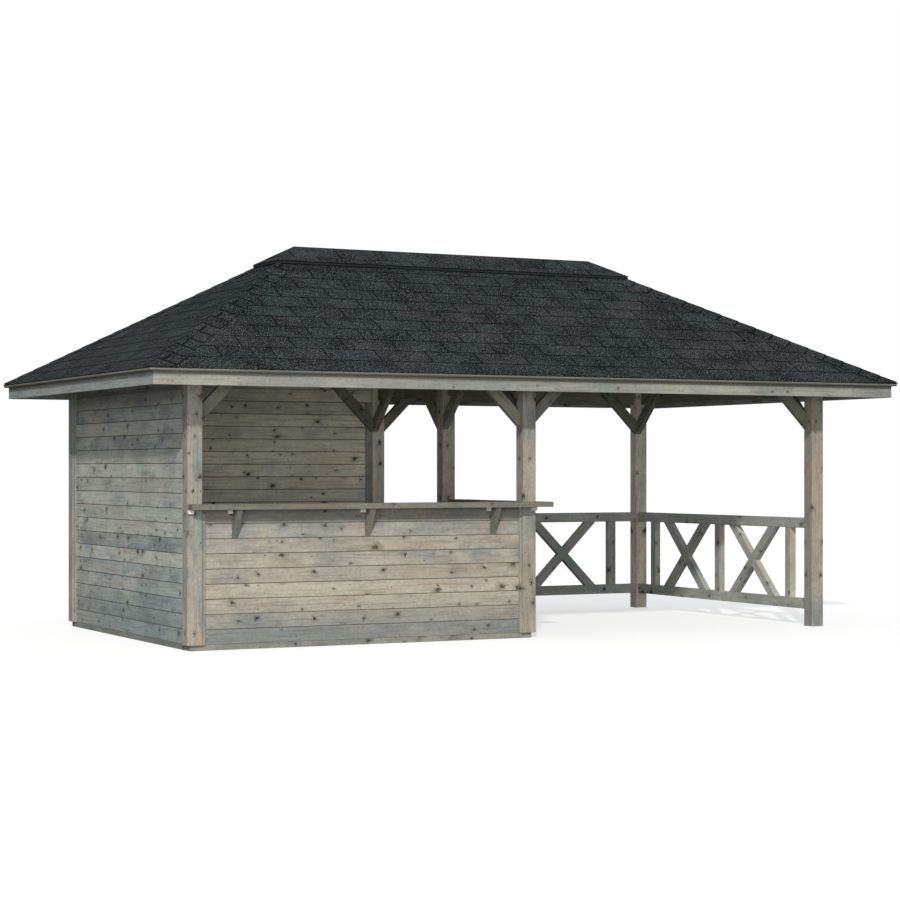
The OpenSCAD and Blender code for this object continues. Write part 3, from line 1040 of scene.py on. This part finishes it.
@dataclass
class Braces:
    """Diagonal braces between the posts and the headers."""

    tip: float = BRACE_TIP
    top: float = 2.235
    width: float = 0.095
    thick: float = 0.054
    bevel: float = 0.004
    blank: tuple[float, float] = (-0.3, 1.2)
    seed: int = 71

    def build(self) -> Piece:
        """Model one brace that climbs along X from a post's face at the origin.

        Returns:
            The brace.
        """
        start, end = self.blank
        brace = block("brace", (start, 0.0, 0.0), (end, self.thick, self.width))
        ease(brace, self.bevel, 2, along_axis(0))
        turn = Matrix.Rotation(-math.radians(45), 4, "Y")
        brace.matrix_world = Matrix.Translation((0.0, 0.0, self.tip)) @ turn
        settle(brace)
        cut(brace, ORIGIN, (-1.0, 0.0, 0.0))
        cut(brace, (0.0, 0.0, self.top), UP)
        return brace

    def _places(self) -> dict[str, list[tuple[float, float, float]]]:
        """List the places of all braces.

        Returns:
            For each solid, the post's face in X and Y and the turn in degrees of each brace.
        """
        thick = self.thick
        rows: dict[str, list[tuple[float, float, float]]] = {}
        for node, y in (("front_braces", -(INNER_Y + thick)), ("back_braces", INNER_Y)):
            rows[node] = [(-INNER_X, y, 0.0), (-POST_HALF, y + thick, 180.0),
                          (POST_HALF, y, 0.0), (INNER_X, y + thick, 180.0)]
        rows["side_braces"] = []
        for x in (-(INNER_X + thick), INNER_X):
            rows["side_braces"] += [(x + thick, -INNER_Y, 90.0), (x, INNER_Y, -90.0)]
        x = -POST_HALF
        rows["cross_braces"] = [(x + thick, -INNER_Y, 90.0), (x, -POST_HALF, -90.0),
                                (x + thick, POST_HALF, 90.0), (x, INNER_Y, -90.0)]
        return rows

    def dress(self, brace: Piece, timber: Material) -> None:
        """Copy the brace to all its places, give it its finish and hand the rows over.

        Args:
            brace: The brace along X, which is copied and then scrapped.
            timber: Finish of the timbers.
        """
        dress(brace, timber)
        seeds = itertools.count(self.seed)
        for node, row in self._places().items():
            parts = []
            for x, y, turn in row:
                around = Matrix.Rotation(math.radians(turn), 4, "Z")
                twin = copied(brace, Matrix.Translation((x, y, 0.0)) @ around)
                climb, side = (around @ Vector((way, 0.0, 0.0)) + Vector(UP) for way in (1.0, -1.0))
                lay_grain(twin, climb, side, next(seeds))
                parts.append(twin)
            hand_over(joined(node + "_timbers", parts), "frame_timber", node)
        scrap(brace)


# Roof


class Side(Enum):
    """A slope of the roof: its turn about the upright in degrees, and which ridge end it is on."""

    FRONT = (0.0, 0.0)
    BACK = (180.0, 0.0)
    RIGHT = (90.0, 1.0)
    LEFT = (-90.0, -1.0)

    @property
    def long(self) -> bool:
        """Whether the slope meets the ridge along its length."""
        return self in (Side.FRONT, Side.BACK)


@dataclass(frozen=True)
class RoofPlane:
    """One sloping plane: x along the eave, y up the slope, z out of it."""

    side: Side
    reach: float
    level: float
    pitch: float = PITCH
    ridge_half: float = RIDGE_HALF

    @property
    def length(self) -> float:
        """Distance from the eave to the ridge along the slope."""
        return self.reach / math.cos(self.pitch)

    @property
    def half(self) -> float:
        """Half the length of the eave."""
        return self.reach + (self.ridge_half if self.side.long else 0.0)

    @property
    def around(self) -> Matrix:
        """Turn and shift from the front slope's place to this one's.

        Returns:
            The matrix.
        """
        turn, end = self.side.value
        return Matrix.Translation((end * self.ridge_half, 0.0, 0.0)) @ Matrix.Rotation(
            math.radians(turn), 4, "Z")

    @property
    def matrix(self) -> Matrix:
        """From the plane's own coordinates to the shared frame."""
        foot = (0.0, -self.reach, self.level - self.reach * math.tan(self.pitch))
        return self.around @ Matrix.Translation(foot) @ Matrix.Rotation(self.pitch, 4, "X")

    def trim(self, obj: Piece, eave: bool = False) -> None:
        """Saw a piece off on the hips and the ridge, and plumb at the eave where asked.

        Args:
            obj: The piece, in its place on the slope.
            eave: Whether the eave is sawn too.
        """
        half = self.ridge_half if self.side.long else 0.0
        turn = self.around.to_3x3()
        for way in (1.0, -1.0):
            cut(obj, self.around @ Vector((way * half, 0.0, 0.0)), turn @ Vector((way, 1.0, 0.0)))
        if self.side.long:
            cut(obj, ORIGIN, turn @ Vector(Y_WAY))
        if eave:
            cut(obj, self.around @ Vector((0.0, -self.reach, 0.0)), turn @ Vector((0.0, -1.0, 0.0)))


@dataclass
class RoofBoards:
    """Boards under the shingles, with eased joints below."""

    level: float = 3.324594
    reach: float = 2.030
    thick: float = 0.018
    pitch: float = 0.0955
    joint: float = 0.004
    start: float = -0.05
    spare: float = 0.06
    past_ridge: float = 0.1
    seed: int = 100

    def build(self) -> dict[Side, Piece]:
        """Lay the boards on all slopes.

        Returns:
            The boards of each slope.
        """
        return {side: self._slope(side, self.seed + number) for number, side in enumerate(Side)}

    def _slope(self, side: Side, seed: int) -> Piece:
        """Model one board, lay it up the slope and saw the field to the slope's outline.

        Args:
            side: The slope.
            seed: Seed of the boards' random values.

        Returns:
            The boards of one slope.
        """
        plane = RoofPlane(side, self.reach, self.level)
        half = plane.half + self.spare
        boards = block("deck_boards", (-half, self.start, 0.0), (half, self.start + self.pitch, self.thick))
        ease(boards, self.joint, 1,
             lambda first, last: along_axis(0)(first, last) and max(first.z, last.z) < 0.001)
        repeat(boards, math.ceil((plane.length + self.past_ridge) / self.pitch), (0.0, self.pitch, 0.0))
        lay_grain(boards, X_WAY, Y_WAY, seed, Y_WAY, self.start, self.pitch)
        boards.matrix_world = plane.matrix
        settle(boards)
        plane.trim(boards, eave=True)
        return boards

    def dress(self, boards: dict[Side, Piece], wood: Material) -> None:
        """Give the boards their finish and hand them over.

        Args:
            boards: The boards of each slope.
            wood: Their finish.
        """
        ends = joined("end_deck_boards", [boards[Side.LEFT], boards[Side.RIGHT]])
        decks = {"front_deck": boards[Side.FRONT], "back_deck": boards[Side.BACK], "end_decks": ends}
        for node, obj in decks.items():
            obj.name = node + "_boards"
            dress(obj, wood)
            hand_over(obj, "roof_boards", node)


@dataclass
class ShingleField:
    """Courses of shingle tabs on one plane, each course lapped by the next."""

    plane: RoofPlane
    courses: tuple[float, ...]
    shown: float
    seed: int
    materials: tuple[Material, Material]
    tab: float = 0.455
    slot: float = 0.013
    thick: float = 0.003
    lap: float = 1.08
    spare: float = 0.03
    starter: bool = True

    def _strip(self, width: float, low: float, thick: float, long: float) -> Piece:
        """One tab or starter strip, lower edge at the origin and black on its cut edges.

        Args:
            width: Width along the eave.
            low: Height of its underside at the lower edge.
            thick: Thickness.
            long: Length up the slope.

        Returns:
            The strip.
        """
        strip = block("tab", ORIGIN, (width, long, thick))
        lean = math.atan2(self.thick, self.shown) if low > 0 else 0.0
        strip.matrix_world = Matrix.Translation((0.0, 0.0, low)) @ Matrix.Rotation(-lean, 4, "X")
        settle(strip)
        dress(strip, *self.materials)
        for face in strip.data.polygons:
            face.material_index = 0 if abs(face.normal.z) > 0.9 else 1
        return strip

    def _row(self, template: Piece, start: float, up: float, chance: np.random.Generator,
             width: float, shows: float) -> Piece:
        """One course in its place, with its tabs' random values, sawn on the hips.

        Args:
            template: Row of tabs from the origin.
            start: Where the row starts along the eave.
            up: Distance of its lower edge up the slope.
            chance: Source of the random values.
            width: Width of one tab with its slot.
            shows: How much of it the next course leaves open.

        Returns:
            The course.
        """
        row = copied(template, HERE)
        co = points(row)
        number = np.floor(co[:, 0] / width + 1e-4).astype(int)
        own = chance.random(number.max() + 2)[number]
        mark(row, "tab", np.stack([co[:, 0], co[:, 1] / shows, own], axis=1))
        row.matrix_world = self.plane.matrix @ Matrix.Translation((start, up, 0.0))
        settle(row)
        self.plane.trim(row)
        return row

    def build(self) -> Piece:
        """Model a tab, make a row of it and lay the courses from the eave up.

        Returns:
            All courses of the plane.
        """
        chance = np.random.default_rng(self.seed)
        half = self.plane.half + self.spare
        count = math.ceil(2 * half / self.tab) + 2
        tab = self._strip(self.tab - self.slot, 2 * self.thick, self.thick, self.shown * (1 + self.lap))
        repeat(tab, count, (self.tab, 0.0, 0.0))
        rows = []
        ends = (*self.courses[1:], 2 * self.plane.length)
        for number, (up, end) in enumerate(zip(self.courses, ends)):
            shift = (number % 2) * self.tab / 2
            rows.append(self._row(tab, -half - shift, up, chance, self.tab, end - up))
        if self.starter:
            first = self._strip(2 * half, 0.0, 2 * self.thick, self.shown)
            for face in first.data.polygons:
                face.material_index = 0
            rows.append(self._row(first, -half, self.courses[0], chance, 3 * half, self.shown))
            scrap(first)
        scrap(tab)
        return joined("courses", rows)


@dataclass
class HipCaps:
    """Folded cap shingles that run up the four hips."""

    reach: float
    level: float
    materials: tuple[Material, Material]
    count: int = 16
    ridge_gap: float = 0.262
    shown: float = 0.1735
    wing: float = 0.140
    thick: float = 0.004
    lap: float = 1.7
    tuck: float = 0.0035
    slot_at: float = 0.040
    slot: float = 0.018
    foot_caps: int = 2
    ridge_caps: int = 3
    pitch: float = PITCH
    ridge_half: float = RIDGE_HALF
    seed: int = 300

    @property
    def fold(self) -> float:
        """Angle by which each wing leans down from level, across the hip.

        Returns:
            The angle.
        """
        up, down = Vector((1.0, 1.0, math.tan(self.pitch))).normalized(), math.sin(self.pitch)
        wing = Vector((0.0, -down, math.cos(self.pitch))).cross(up)
        return math.asin(abs(wing.dot(Vector(UP))) / math.cos(math.asin(up.z)))

    def _cap(self) -> Piece:
        """One cap, folded along its middle, lower edge at the origin and lifted to lap the next.

        Returns:
            The cap.
        """
        cap = block("hip_cap", (-self.wing, 0.0, 0.0), (self.wing, self.shown * self.lap, self.thick))
        cut(cap, ORIGIN, X_WAY, away=False)
        for vertex in cap.data.vertices:
            vertex.co.z -= abs(vertex.co.x) * (math.tan(self.fold) + self.tuck / self.wing)
        cap.matrix_world = Matrix.Translation((0.0, 0.0, 2 * self.thick)) @ Matrix.Rotation(
            -math.atan2(self.thick, self.shown), 4, "X")
        settle(cap)
        dress(cap, *self.materials)
        for face in cap.data.polygons:
            face.material_index = int(face.normal.y < -0.8)
        return cap

    def _slotted(self, cap: Piece) -> Piece:
        """Saw a narrow slot beside the hip into a copy of a cap.

        Args:
            cap: The plain cap.

        Returns:
            The slotted cap.
        """
        left, right = copied(cap, HERE), copied(cap, HERE)
        cut(left, (self.slot_at - self.slot / 2, 0.0, 0.0), X_WAY)
        cut(right, (self.slot_at + self.slot / 2, 0.0, 0.0), (-1.0, 0.0, 0.0))
        return joined("slotted_cap", [left, right])

    def _matrix(self, turn: float, end: float) -> Matrix:
        """From a cap's own coordinates to the foot of one hip.

        Args:
            turn: Turn of the hip from the front left one, in degrees.
            end: Which end of the ridge it climbs to.

        Returns:
            The matrix.
        """
        up = Vector((1.0, 1.0, math.tan(self.pitch))).normalized()
        across = Vector((1.0, -1.0, 0.0)).normalized()
        turned = Matrix((across, up, across.cross(up))).transposed().to_4x4()
        foot = Vector((-self.reach, -self.reach, self.level - self.reach * math.tan(self.pitch)))
        return (Matrix.Translation((end * self.ridge_half, 0.0, 0.0))
                @ Matrix.Rotation(math.radians(turn), 4, "Z") @ Matrix.Translation(foot) @ turned)

    def build(self) -> Piece:
        """Model a cap and lay it up the four hips.

        Returns:
            All caps.
        """
        plain = self._cap()
        slotted = self._slotted(plain)
        chance = np.random.default_rng(self.seed)
        parts = []
        for turn, end in ((0.0, -1.0), (90.0, 1.0), (180.0, 1.0), (-90.0, -1.0)):
            foot = self._matrix(turn, end)
            for number in range(self.count):
                cap = copied(slotted if number % 2 else plain, HERE)
                co = points(cap)
                own = np.full(len(co), chance.random())
                mark(cap, "tab", np.stack([co[:, 0], co[:, 1] / self.shown, own], axis=1))
                cap.matrix_world = foot @ Matrix.Translation((0.0, number * self.shown, 0.0))
                settle(cap)
                if number < self.foot_caps:
                    self._trim(cap)
                if number >= self.count - self.ridge_caps:
                    inward = foot.to_3x3() @ Vector(Y_WAY)
                    end_at = Vector((end * self.ridge_half - math.copysign(self.ridge_gap, inward.x),
                                     -math.copysign(self.ridge_gap, inward.y), 0.0))
                    cut(cap, end_at, (inward.x, inward.y, 0.0))
                parts.append(cap)
        scrap(plain)
        scrap(slotted)
        return joined("hip_caps", parts)

    def _trim(self, cap: Piece) -> None:
        """Saw a lowest cap off above the two eaves that meet at its corner.

        Args:
            cap: The cap, in its place.
        """
        middle = points(cap).mean(axis=0)
        out_x, out_y = math.copysign(1.0, middle[0]), math.copysign(1.0, middle[1])
        cut(cap, (out_x * (self.ridge_half + self.reach), 0.0, 0.0), (out_x, 0.0, 0.0))
        cut(cap, (0.0, out_y * self.reach, 0.0), (0.0, out_y, 0.0))


@dataclass
class ShingleRoof:
    """All the shingles: four slopes, the hips and the raised ridge cap."""

    reach: float = 2.032
    level: float = 3.345275
    courses: int = 12
    cap_reach: float = 0.276
    cap_courses: tuple[float, float] = (0.0, 0.1)
    thick: float = 0.003
    hip_lift: float = 2.4
    pitch: float = PITCH
    seed: int = 200
    cap_seed: int = 220

    def build(self, granules: Material, hip_granules: Material,
              black: Material) -> dict[str, Piece]:
        """Lay the slopes, the hips and the ridge cap.

        Args:
            granules, hip_granules: Faces of the tabs and of the hip caps.
            black: Cut edges.

        Returns:
            The pieces by the name of what they cover.
        """
        shown = self.reach / math.cos(self.pitch) / self.courses
        ups = tuple(number * shown for number in range(self.courses))
        made = {}
        for number, side in enumerate(Side):
            plane = RoofPlane(side, self.reach, self.level)
            courses = ShingleField(plane, ups, shown, self.seed + number, (granules, black), thick=self.thick)
            made[side.name] = courses.build()
        hip_level = self.level + self.hip_lift * self.thick / math.cos(self.pitch)
        made["HIPS"] = HipCaps(self.reach, hip_level, (hip_granules, black)).build()
        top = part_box("ridge_cap")[1].z
        parts = []
        for number, side in enumerate(Side):
            plane = RoofPlane(side, self.cap_reach, top)
            courses = ShingleField(plane, self.cap_courses, shown, self.cap_seed + number, (granules, black),
                                   thick=self.thick, starter=False)
            parts.append(courses.build())
        made["CAP"] = joined("ridge_cap_shingles", parts)
        return made

    def dress(self, made: dict[str, Piece]) -> None:
        """Name the pieces and hand them over.

        Args:
            made: The pieces by the name of what they cover.
        """
        made["ENDS"] = joined("end_shingle_courses", [made.pop("LEFT"), made.pop("RIGHT")])
        stands_for = {"FRONT": "front_shingles", "BACK": "back_shingles", "ENDS": "end_shingles"}
        for key, node in stands_for.items():
            made[key].name = node + "_courses"
            hand_over(made[key], "shingles", node)
        for key in ("HIPS", "CAP"):
            hand_over(made[key], "shingles")


@dataclass
class FasciaScrews:
    """Pairs of screw heads where the fascia boards meet and end."""

    places: tuple[float, ...] = (-3.378, -3.343, -1.256, -1.221, 1.221, 1.256, 3.343, 3.378)
    height: float = 2.099
    radius: float = 0.0055
    depth: float = 0.004
    sides: int = 14
    rim: tuple[float, float] = (0.18, 0.0006)
    recess: tuple[float, float] = (0.4, 0.0015)
    recess_wall: float = 0.0003
    face: float = 1.995

    def build(self) -> Piece:
        """Model one countersunk head with a recess and copy it to its places.

        Returns:
            All screw heads.
        """
        deselect()
        bpy.ops.mesh.primitive_cylinder_add(vertices=self.sides, radius=self.radius, depth=self.depth)
        head = bpy.context.object
        bpy.context.tool_settings.mesh_select_mode = (False, False, True)
        with editing(head):
            bpy.ops.mesh.select_all(action="DESELECT")
        for face in head.data.polygons:
            face.select = face.normal.z > 0.9
        with editing(head):
            bpy.ops.mesh.inset(thickness=self.radius * self.rim[0], depth=self.rim[1])
            bpy.ops.mesh.inset(thickness=self.radius * self.recess[0])
            bpy.ops.mesh.inset(thickness=self.recess_wall, depth=-self.recess[1])
        parts = []
        for turn in (0.0, math.pi):
            around = Matrix.Rotation(turn, 4, "Z")
            for x in self.places:
                place = Matrix.Translation((x, -self.face, self.height)) @ Matrix.Rotation(math.pi / 2, 4, "X")
                parts.append(copied(head, around @ place))
        scrap(head)
        return joined("fascia_screws", parts)

    def dress(self, screws: Piece, steel: Material) -> None:
        """Give the screws their finish and hand them over."""
        dress(screws, steel)
        hand_over(screws, "fascia_boards")


# Timbers whose solids already have the right shape


WEATHERED = tones((161, 156, 142), (146, 146, 136), (121, 129, 128))
BOARDED = tones((170, 164, 149), (153, 151, 141), (127, 132, 130))
SHADED = tones((176, 179, 169), (160, 166, 160), (126, 139, 141), (162, 158, 146))
# Painted light: lighter board tones for the indoor faces, the header boards and the back posts, which stand in
# shade.
INNER = tones((218, 213, 190), (204, 202, 184), (176, 181, 172), (196, 182, 156))
# Dark tones of the joints; on faces that face down they are painted shade.
JOINTS = tones((126, 120, 105), (116, 112, 100), (102, 106, 102), (120, 110, 95))
FRAMED = tones((133, 132, 115), (118, 119, 106), (98, 106, 101), (126, 116, 99))
RAILED = tones((180, 181, 170), (165, 168, 160), (144, 153, 152), (166, 156, 140))
WORN = tones((120, 118, 106), (108, 108, 99), (94, 100, 97), (116, 108, 94))
CLEATS = tones((228, 227, 218), (220, 219, 210), (206, 208, 202), (222, 214, 200))
LONG_SILLS = tones((140, 139, 127), (128, 129, 119), (108, 115, 113), (130, 122, 106))
CROSS_SILLS = tones((130, 136, 131), (120, 127, 123), (102, 112, 114), (122, 120, 110))
LONG_EAVES = tones((161, 160, 149), (148, 148, 139), (129, 136, 134), (146, 138, 124))
END_EAVES = tones((161, 167, 163), (150, 157, 153), (134, 146, 148), (152, 152, 143))
EAVES_SHADE = {"knots": 0.35, "shade_heights": (2.130, 2.180), "shade_amount": 0.78}


@dataclass
class CarriedTimbers:
    """Solids that keep their own shape and get a finish."""

    groups: tuple[tuple[WoodFinish, tuple[str, ...]], ...] = (
        (WoodFinish("post_wood", Grain.UPRIGHT, WEATHERED, spread=0.06, knots=1.1),
         ("front_left_post", "front_middle_post", "front_right_post", "back_left_post",
          "bar_end_post", "cover_strips", "wall_battens")),
        # Painted light: the back posts take the lighter indoor tones, as they stand in shade.
        (WoodFinish("back_post_wood", Grain.UPRIGHT, INNER, spread=0.06),
         ("back_middle_post", "back_right_post")),
        (WoodFinish("bracket_wood", Grain.UPRIGHT, FRAMED, knots=0.5), ("counter_brackets",)),
        (WoodFinish("sill_wood_long", Grain.ALONG_X, LONG_SILLS), ("long_sills",)),
        (WoodFinish("sill_wood_cross", Grain.ALONG_Y, CROSS_SILLS), ("left_sill", "bar_side_sill")),
        (WoodFinish("counter_wood_long", Grain.ALONG_X, WORN, knots=0.6), ("front_counter",)),
        (WoodFinish("counter_wood_cross", Grain.ALONG_Y, WORN, knots=0.6), ("side_counter",)),
        (WoodFinish("cleat_wood", Grain.ALONG_Y, CLEATS, knots=0.3, contrast=0.4), ("counter_cleats",)),
        (WoodFinish("header_wood_long", Grain.ALONG_X, FRAMED), ("front_header", "back_header", "ridge_beam")),
        (WoodFinish("header_wood_cross", Grain.ALONG_Y, FRAMED), ("left_header", "right_header", "cross_beam")),
        (WoodFinish("rafter_wood_long", Grain.LONG_SLOPE, FRAMED), ("long_side_rafters",)),
        (WoodFinish("rafter_wood_end", Grain.END_SLOPE, FRAMED), ("short_side_rafters",)),
        (WoodFinish("hip_wood", Grain.HIP, FRAMED), ("hip_rafters",)),
        (WoodFinish("fascia_wood_long", Grain.ALONG_X, LONG_EAVES, **EAVES_SHADE), ("long_fascias",)),
        (WoodFinish("fascia_wood_end", Grain.ALONG_Y, END_EAVES, **EAVES_SHADE), ("end_fascias",)),
        (WoodFinish("spacer_wood", Grain.ALONG_Y, FRAMED), ("cap_spacers",)),
    )

    def dress(self) -> None:
        """Give every solid its finish."""
        for finish, nodes in self.groups:
            material = finish.make()
            for node in nodes:
                dress(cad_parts[node], material)
            log.info("%s on %d solids", finish.name, len(nodes))


# Stage


@dataclass
class Stage:
    """Camera, floor and light."""

    eye: tuple[float, float, float] = (-8.946, -17.587, 1.432)
    heading: float = 27.07
    lens: float = 86.64
    sensor: float = 36.0
    far: float = 2000.0
    shift_up: float = 0.0209
    sun_way: tuple[float, float, float] = (0.4366, 0.7344, -0.5198)
    sun_strength: float = 2.14
    sun_angle: float = 3.0
    sun_colour: Colour = (1.0, 0.965, 0.90)
    sky_colour: Colour = (0.92, 0.965, 1.0)
    sky_strength: float = 0.48
    fill_strength: float = 720.0
    fill_place: tuple[float, float, float] = (-6.5, -12.0, 1.8)
    fill_size: tuple[float, float] = (14.0, 4.0)
    floor_size: float = 1200.0
    floor_drop: float = 0.001
    floor_matt: Colour = (0.22, 0.22, 0.22)
    floor_pale: Colour = (0.5, 0.5, 0.5)
    floor_glow: float = 0.62
    white: Colour = (1.0, 1.0, 1.0)

    @staticmethod
    def _placed(data: bpy.types.ID) -> Piece:
        """Put a camera or light into the scene.

        Args:
            data: Its settings, whose name it takes.

        Returns:
            The new object.
        """
        obj = bpy.data.objects.new(data.name, data)
        bpy.context.scene.collection.objects.link(obj)
        return obj

    def camera(self) -> None:
        """Set the camera at the photograph's place."""
        data = bpy.data.cameras.new("camera")
        data.lens, data.sensor_width = self.lens, self.sensor
        data.shift_y = self.shift_up
        data.clip_end = self.far
        camera = self._placed(data)
        camera.location = self.eye
        camera.rotation_euler = (math.pi / 2, 0.0, -math.radians(self.heading))
        bpy.context.scene.camera = camera

    def light(self) -> None:
        """Set a soft sun and an even sky that the camera sees as white."""
        data = bpy.data.lights.new("sun", "SUN")
        data.energy, data.color, data.angle = self.sun_strength, self.sun_colour, math.radians(self.sun_angle)
        sun = self._placed(data)
        sun.rotation_euler = Vector(self.sun_way).to_track_quat("-Z", "Y").to_euler()
        wide = bpy.data.lights.new("front_fill", "AREA")
        wide.shape = "RECTANGLE"
        wide.size, wide.size_y = self.fill_size
        wide.energy = self.fill_strength
        fill = self._placed(wide)
        fill.location = self.fill_place
        fill.rotation_euler = (-Vector(self.fill_place)).to_track_quat("-Z", "Y").to_euler()
        fill.visible_camera = False
        sh = Shader(bpy.data.worlds.new("sky"))
        seen = sh.add("ShaderNodeLightPath")["Is Camera Ray"]
        sky = sh.add("ShaderNodeBackground", {}, {"Color": self.sky_colour, "Strength": self.sky_strength})
        white = sh.add("ShaderNodeBackground", {}, {"Color": self.white})
        both = sh.add("ShaderNodeMixShader", {}, {0: seen, 1: sky["Background"], 2: white["Background"]})
        sh.add("ShaderNodeOutputWorld", {}, {"Surface": both["Shader"]})
        bpy.context.scene.world = sh.owner

    def floor(self) -> None:
        """Lay a pale floor that keeps the shadow and looks white to the camera."""
        deselect()
        bpy.ops.mesh.primitive_plane_add(size=self.floor_size, location=(0.0, 0.0, -self.floor_drop))
        floor = settle(bpy.context.object)
        floor.name = "floor"
        sh = Shader(bpy.data.materials.new("floor_white"))
        seen = sh.add("ShaderNodeLightPath")["Is Camera Ray"]
        matt = sh.add("ShaderNodeBsdfDiffuse", {}, {"Color": self.floor_matt})
        pale = sh.add("ShaderNodeBsdfDiffuse", {}, {"Color": self.floor_pale})
        bright = sh.add("ShaderNodeEmission", {}, {"Color": self.white, "Strength": self.floor_glow})
        white = sh.add("ShaderNodeAddShader", {}, {0: pale["BSDF"], 1: bright["Emission"]})
        both = sh.add("ShaderNodeMixShader", {}, {0: seen, 1: matt["BSDF"], 2: white["Shader"]})
        sh.add("ShaderNodeOutputMaterial", {}, {"Surface": both["Shader"]})
        dress(floor, sh.owner)

    def build(self) -> None:
        """Set the whole stage."""
        self.camera()
        self.light()
        self.floor()
        bpy.context.scene.view_settings.view_transform = "Standard"


def main() -> None:
    """Build and dress the sub-assemblies in order."""
    logging.basicConfig(level=logging.INFO, format="%(name)s: %(message)s")
    Stage().build()
    CarriedTimbers().dress()
    outer = WoodFinish("wall_board_wood", Grain.BOARD, BOARDED, splash=0.6).make()
    # Painted shade on the front half wall's top boards under the counter.
    below_bar = WoodFinish("bar_board_wood", Grain.BOARD, BOARDED, splash=0.6,
                           shade_heights=(0.96, 1.05), shade_amount=0.34).make()
    # Painted shade on the left wall's top boards under the eaves.
    shaded = WoodFinish("left_board_wood", Grain.BOARD, SHADED, stain=0.9, splash=0.7,
                        shade_heights=(1.82, 2.10), shade_amount=0.66).make()
    # Painted light: the lighter indoor finish stands for light on the shaded inside faces.
    inside = WoodFinish("inner_board_wood", Grain.BOARD, INNER).make()
    joints = WoodFinish("joint_wood", Grain.BOARD, JOINTS, knots=0.5).make()
    walls = ((BoardWall("left_wall", Run.ACROSS, 10, 1.0), shaded),
             (BoardWall("back_wall", Run.ALONG, 11, -1.0), outer),
             (BoardWall("front_half_wall", Run.ALONG, 12, 1.0), below_bar),
             (BoardWall("bar_side_half_wall", Run.ACROSS, 13, -1.0), outer))
    for wall, outside in walls:
        wall.dress(wall.build(), outside, inside, joints)
    header_boards = HeaderBoards()
    header_boards.dress(header_boards.build(), inside, joints)
    railing, braces = Railing(), Braces()
    railing.dress(railing.build(), WoodFinish("rail_wood", Grain.BOARD, RAILED).make())
    braces.dress(braces.build(), WoodFinish("brace_wood", Grain.BOARD, FRAMED).make())
    # Painted shade on the lower part of the boards' edge at the eave, below a given height.
    roof_boards = RoofBoards()
    roof_boards.dress(roof_boards.build(), WoodFinish(
        "roof_board_wood", Grain.BOARD, FRAMED, shade_heights=(2.1872, 2.1835), shade_amount=0.85).make())
    granules = ShingleFinish("shingle_granules").make()
    # The hip caps get a wider, darker painted shade line below each next cap's lower edge.
    hip_granules = ShingleFinish("hip_granules", line=0.84, line_from=0.87).make()
    black = SpeckledFinish("shingle_edge", linear(14, 15, 17), linear(34, 36, 38)).make()
    cap_edge = SpeckledFinish("cap_edge", linear(25, 29, 30), linear(42, 47, 48)).make()
    dress(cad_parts["ridge_cap"], cap_edge)
    roof = ShingleRoof()
    roof.dress(roof.build(granules, hip_granules, black))
    steel = SpeckledFinish("screw_steel", linear(70, 68, 64), linear(112, 110, 106), 900.0, 3.0,
                           (0.45, 0.25), (0.2, 0.0003), 0.5).make()
    screws = FasciaScrews()
    screws.dress(screws.build(), steel)


if __name__ == "__main__":
    main()
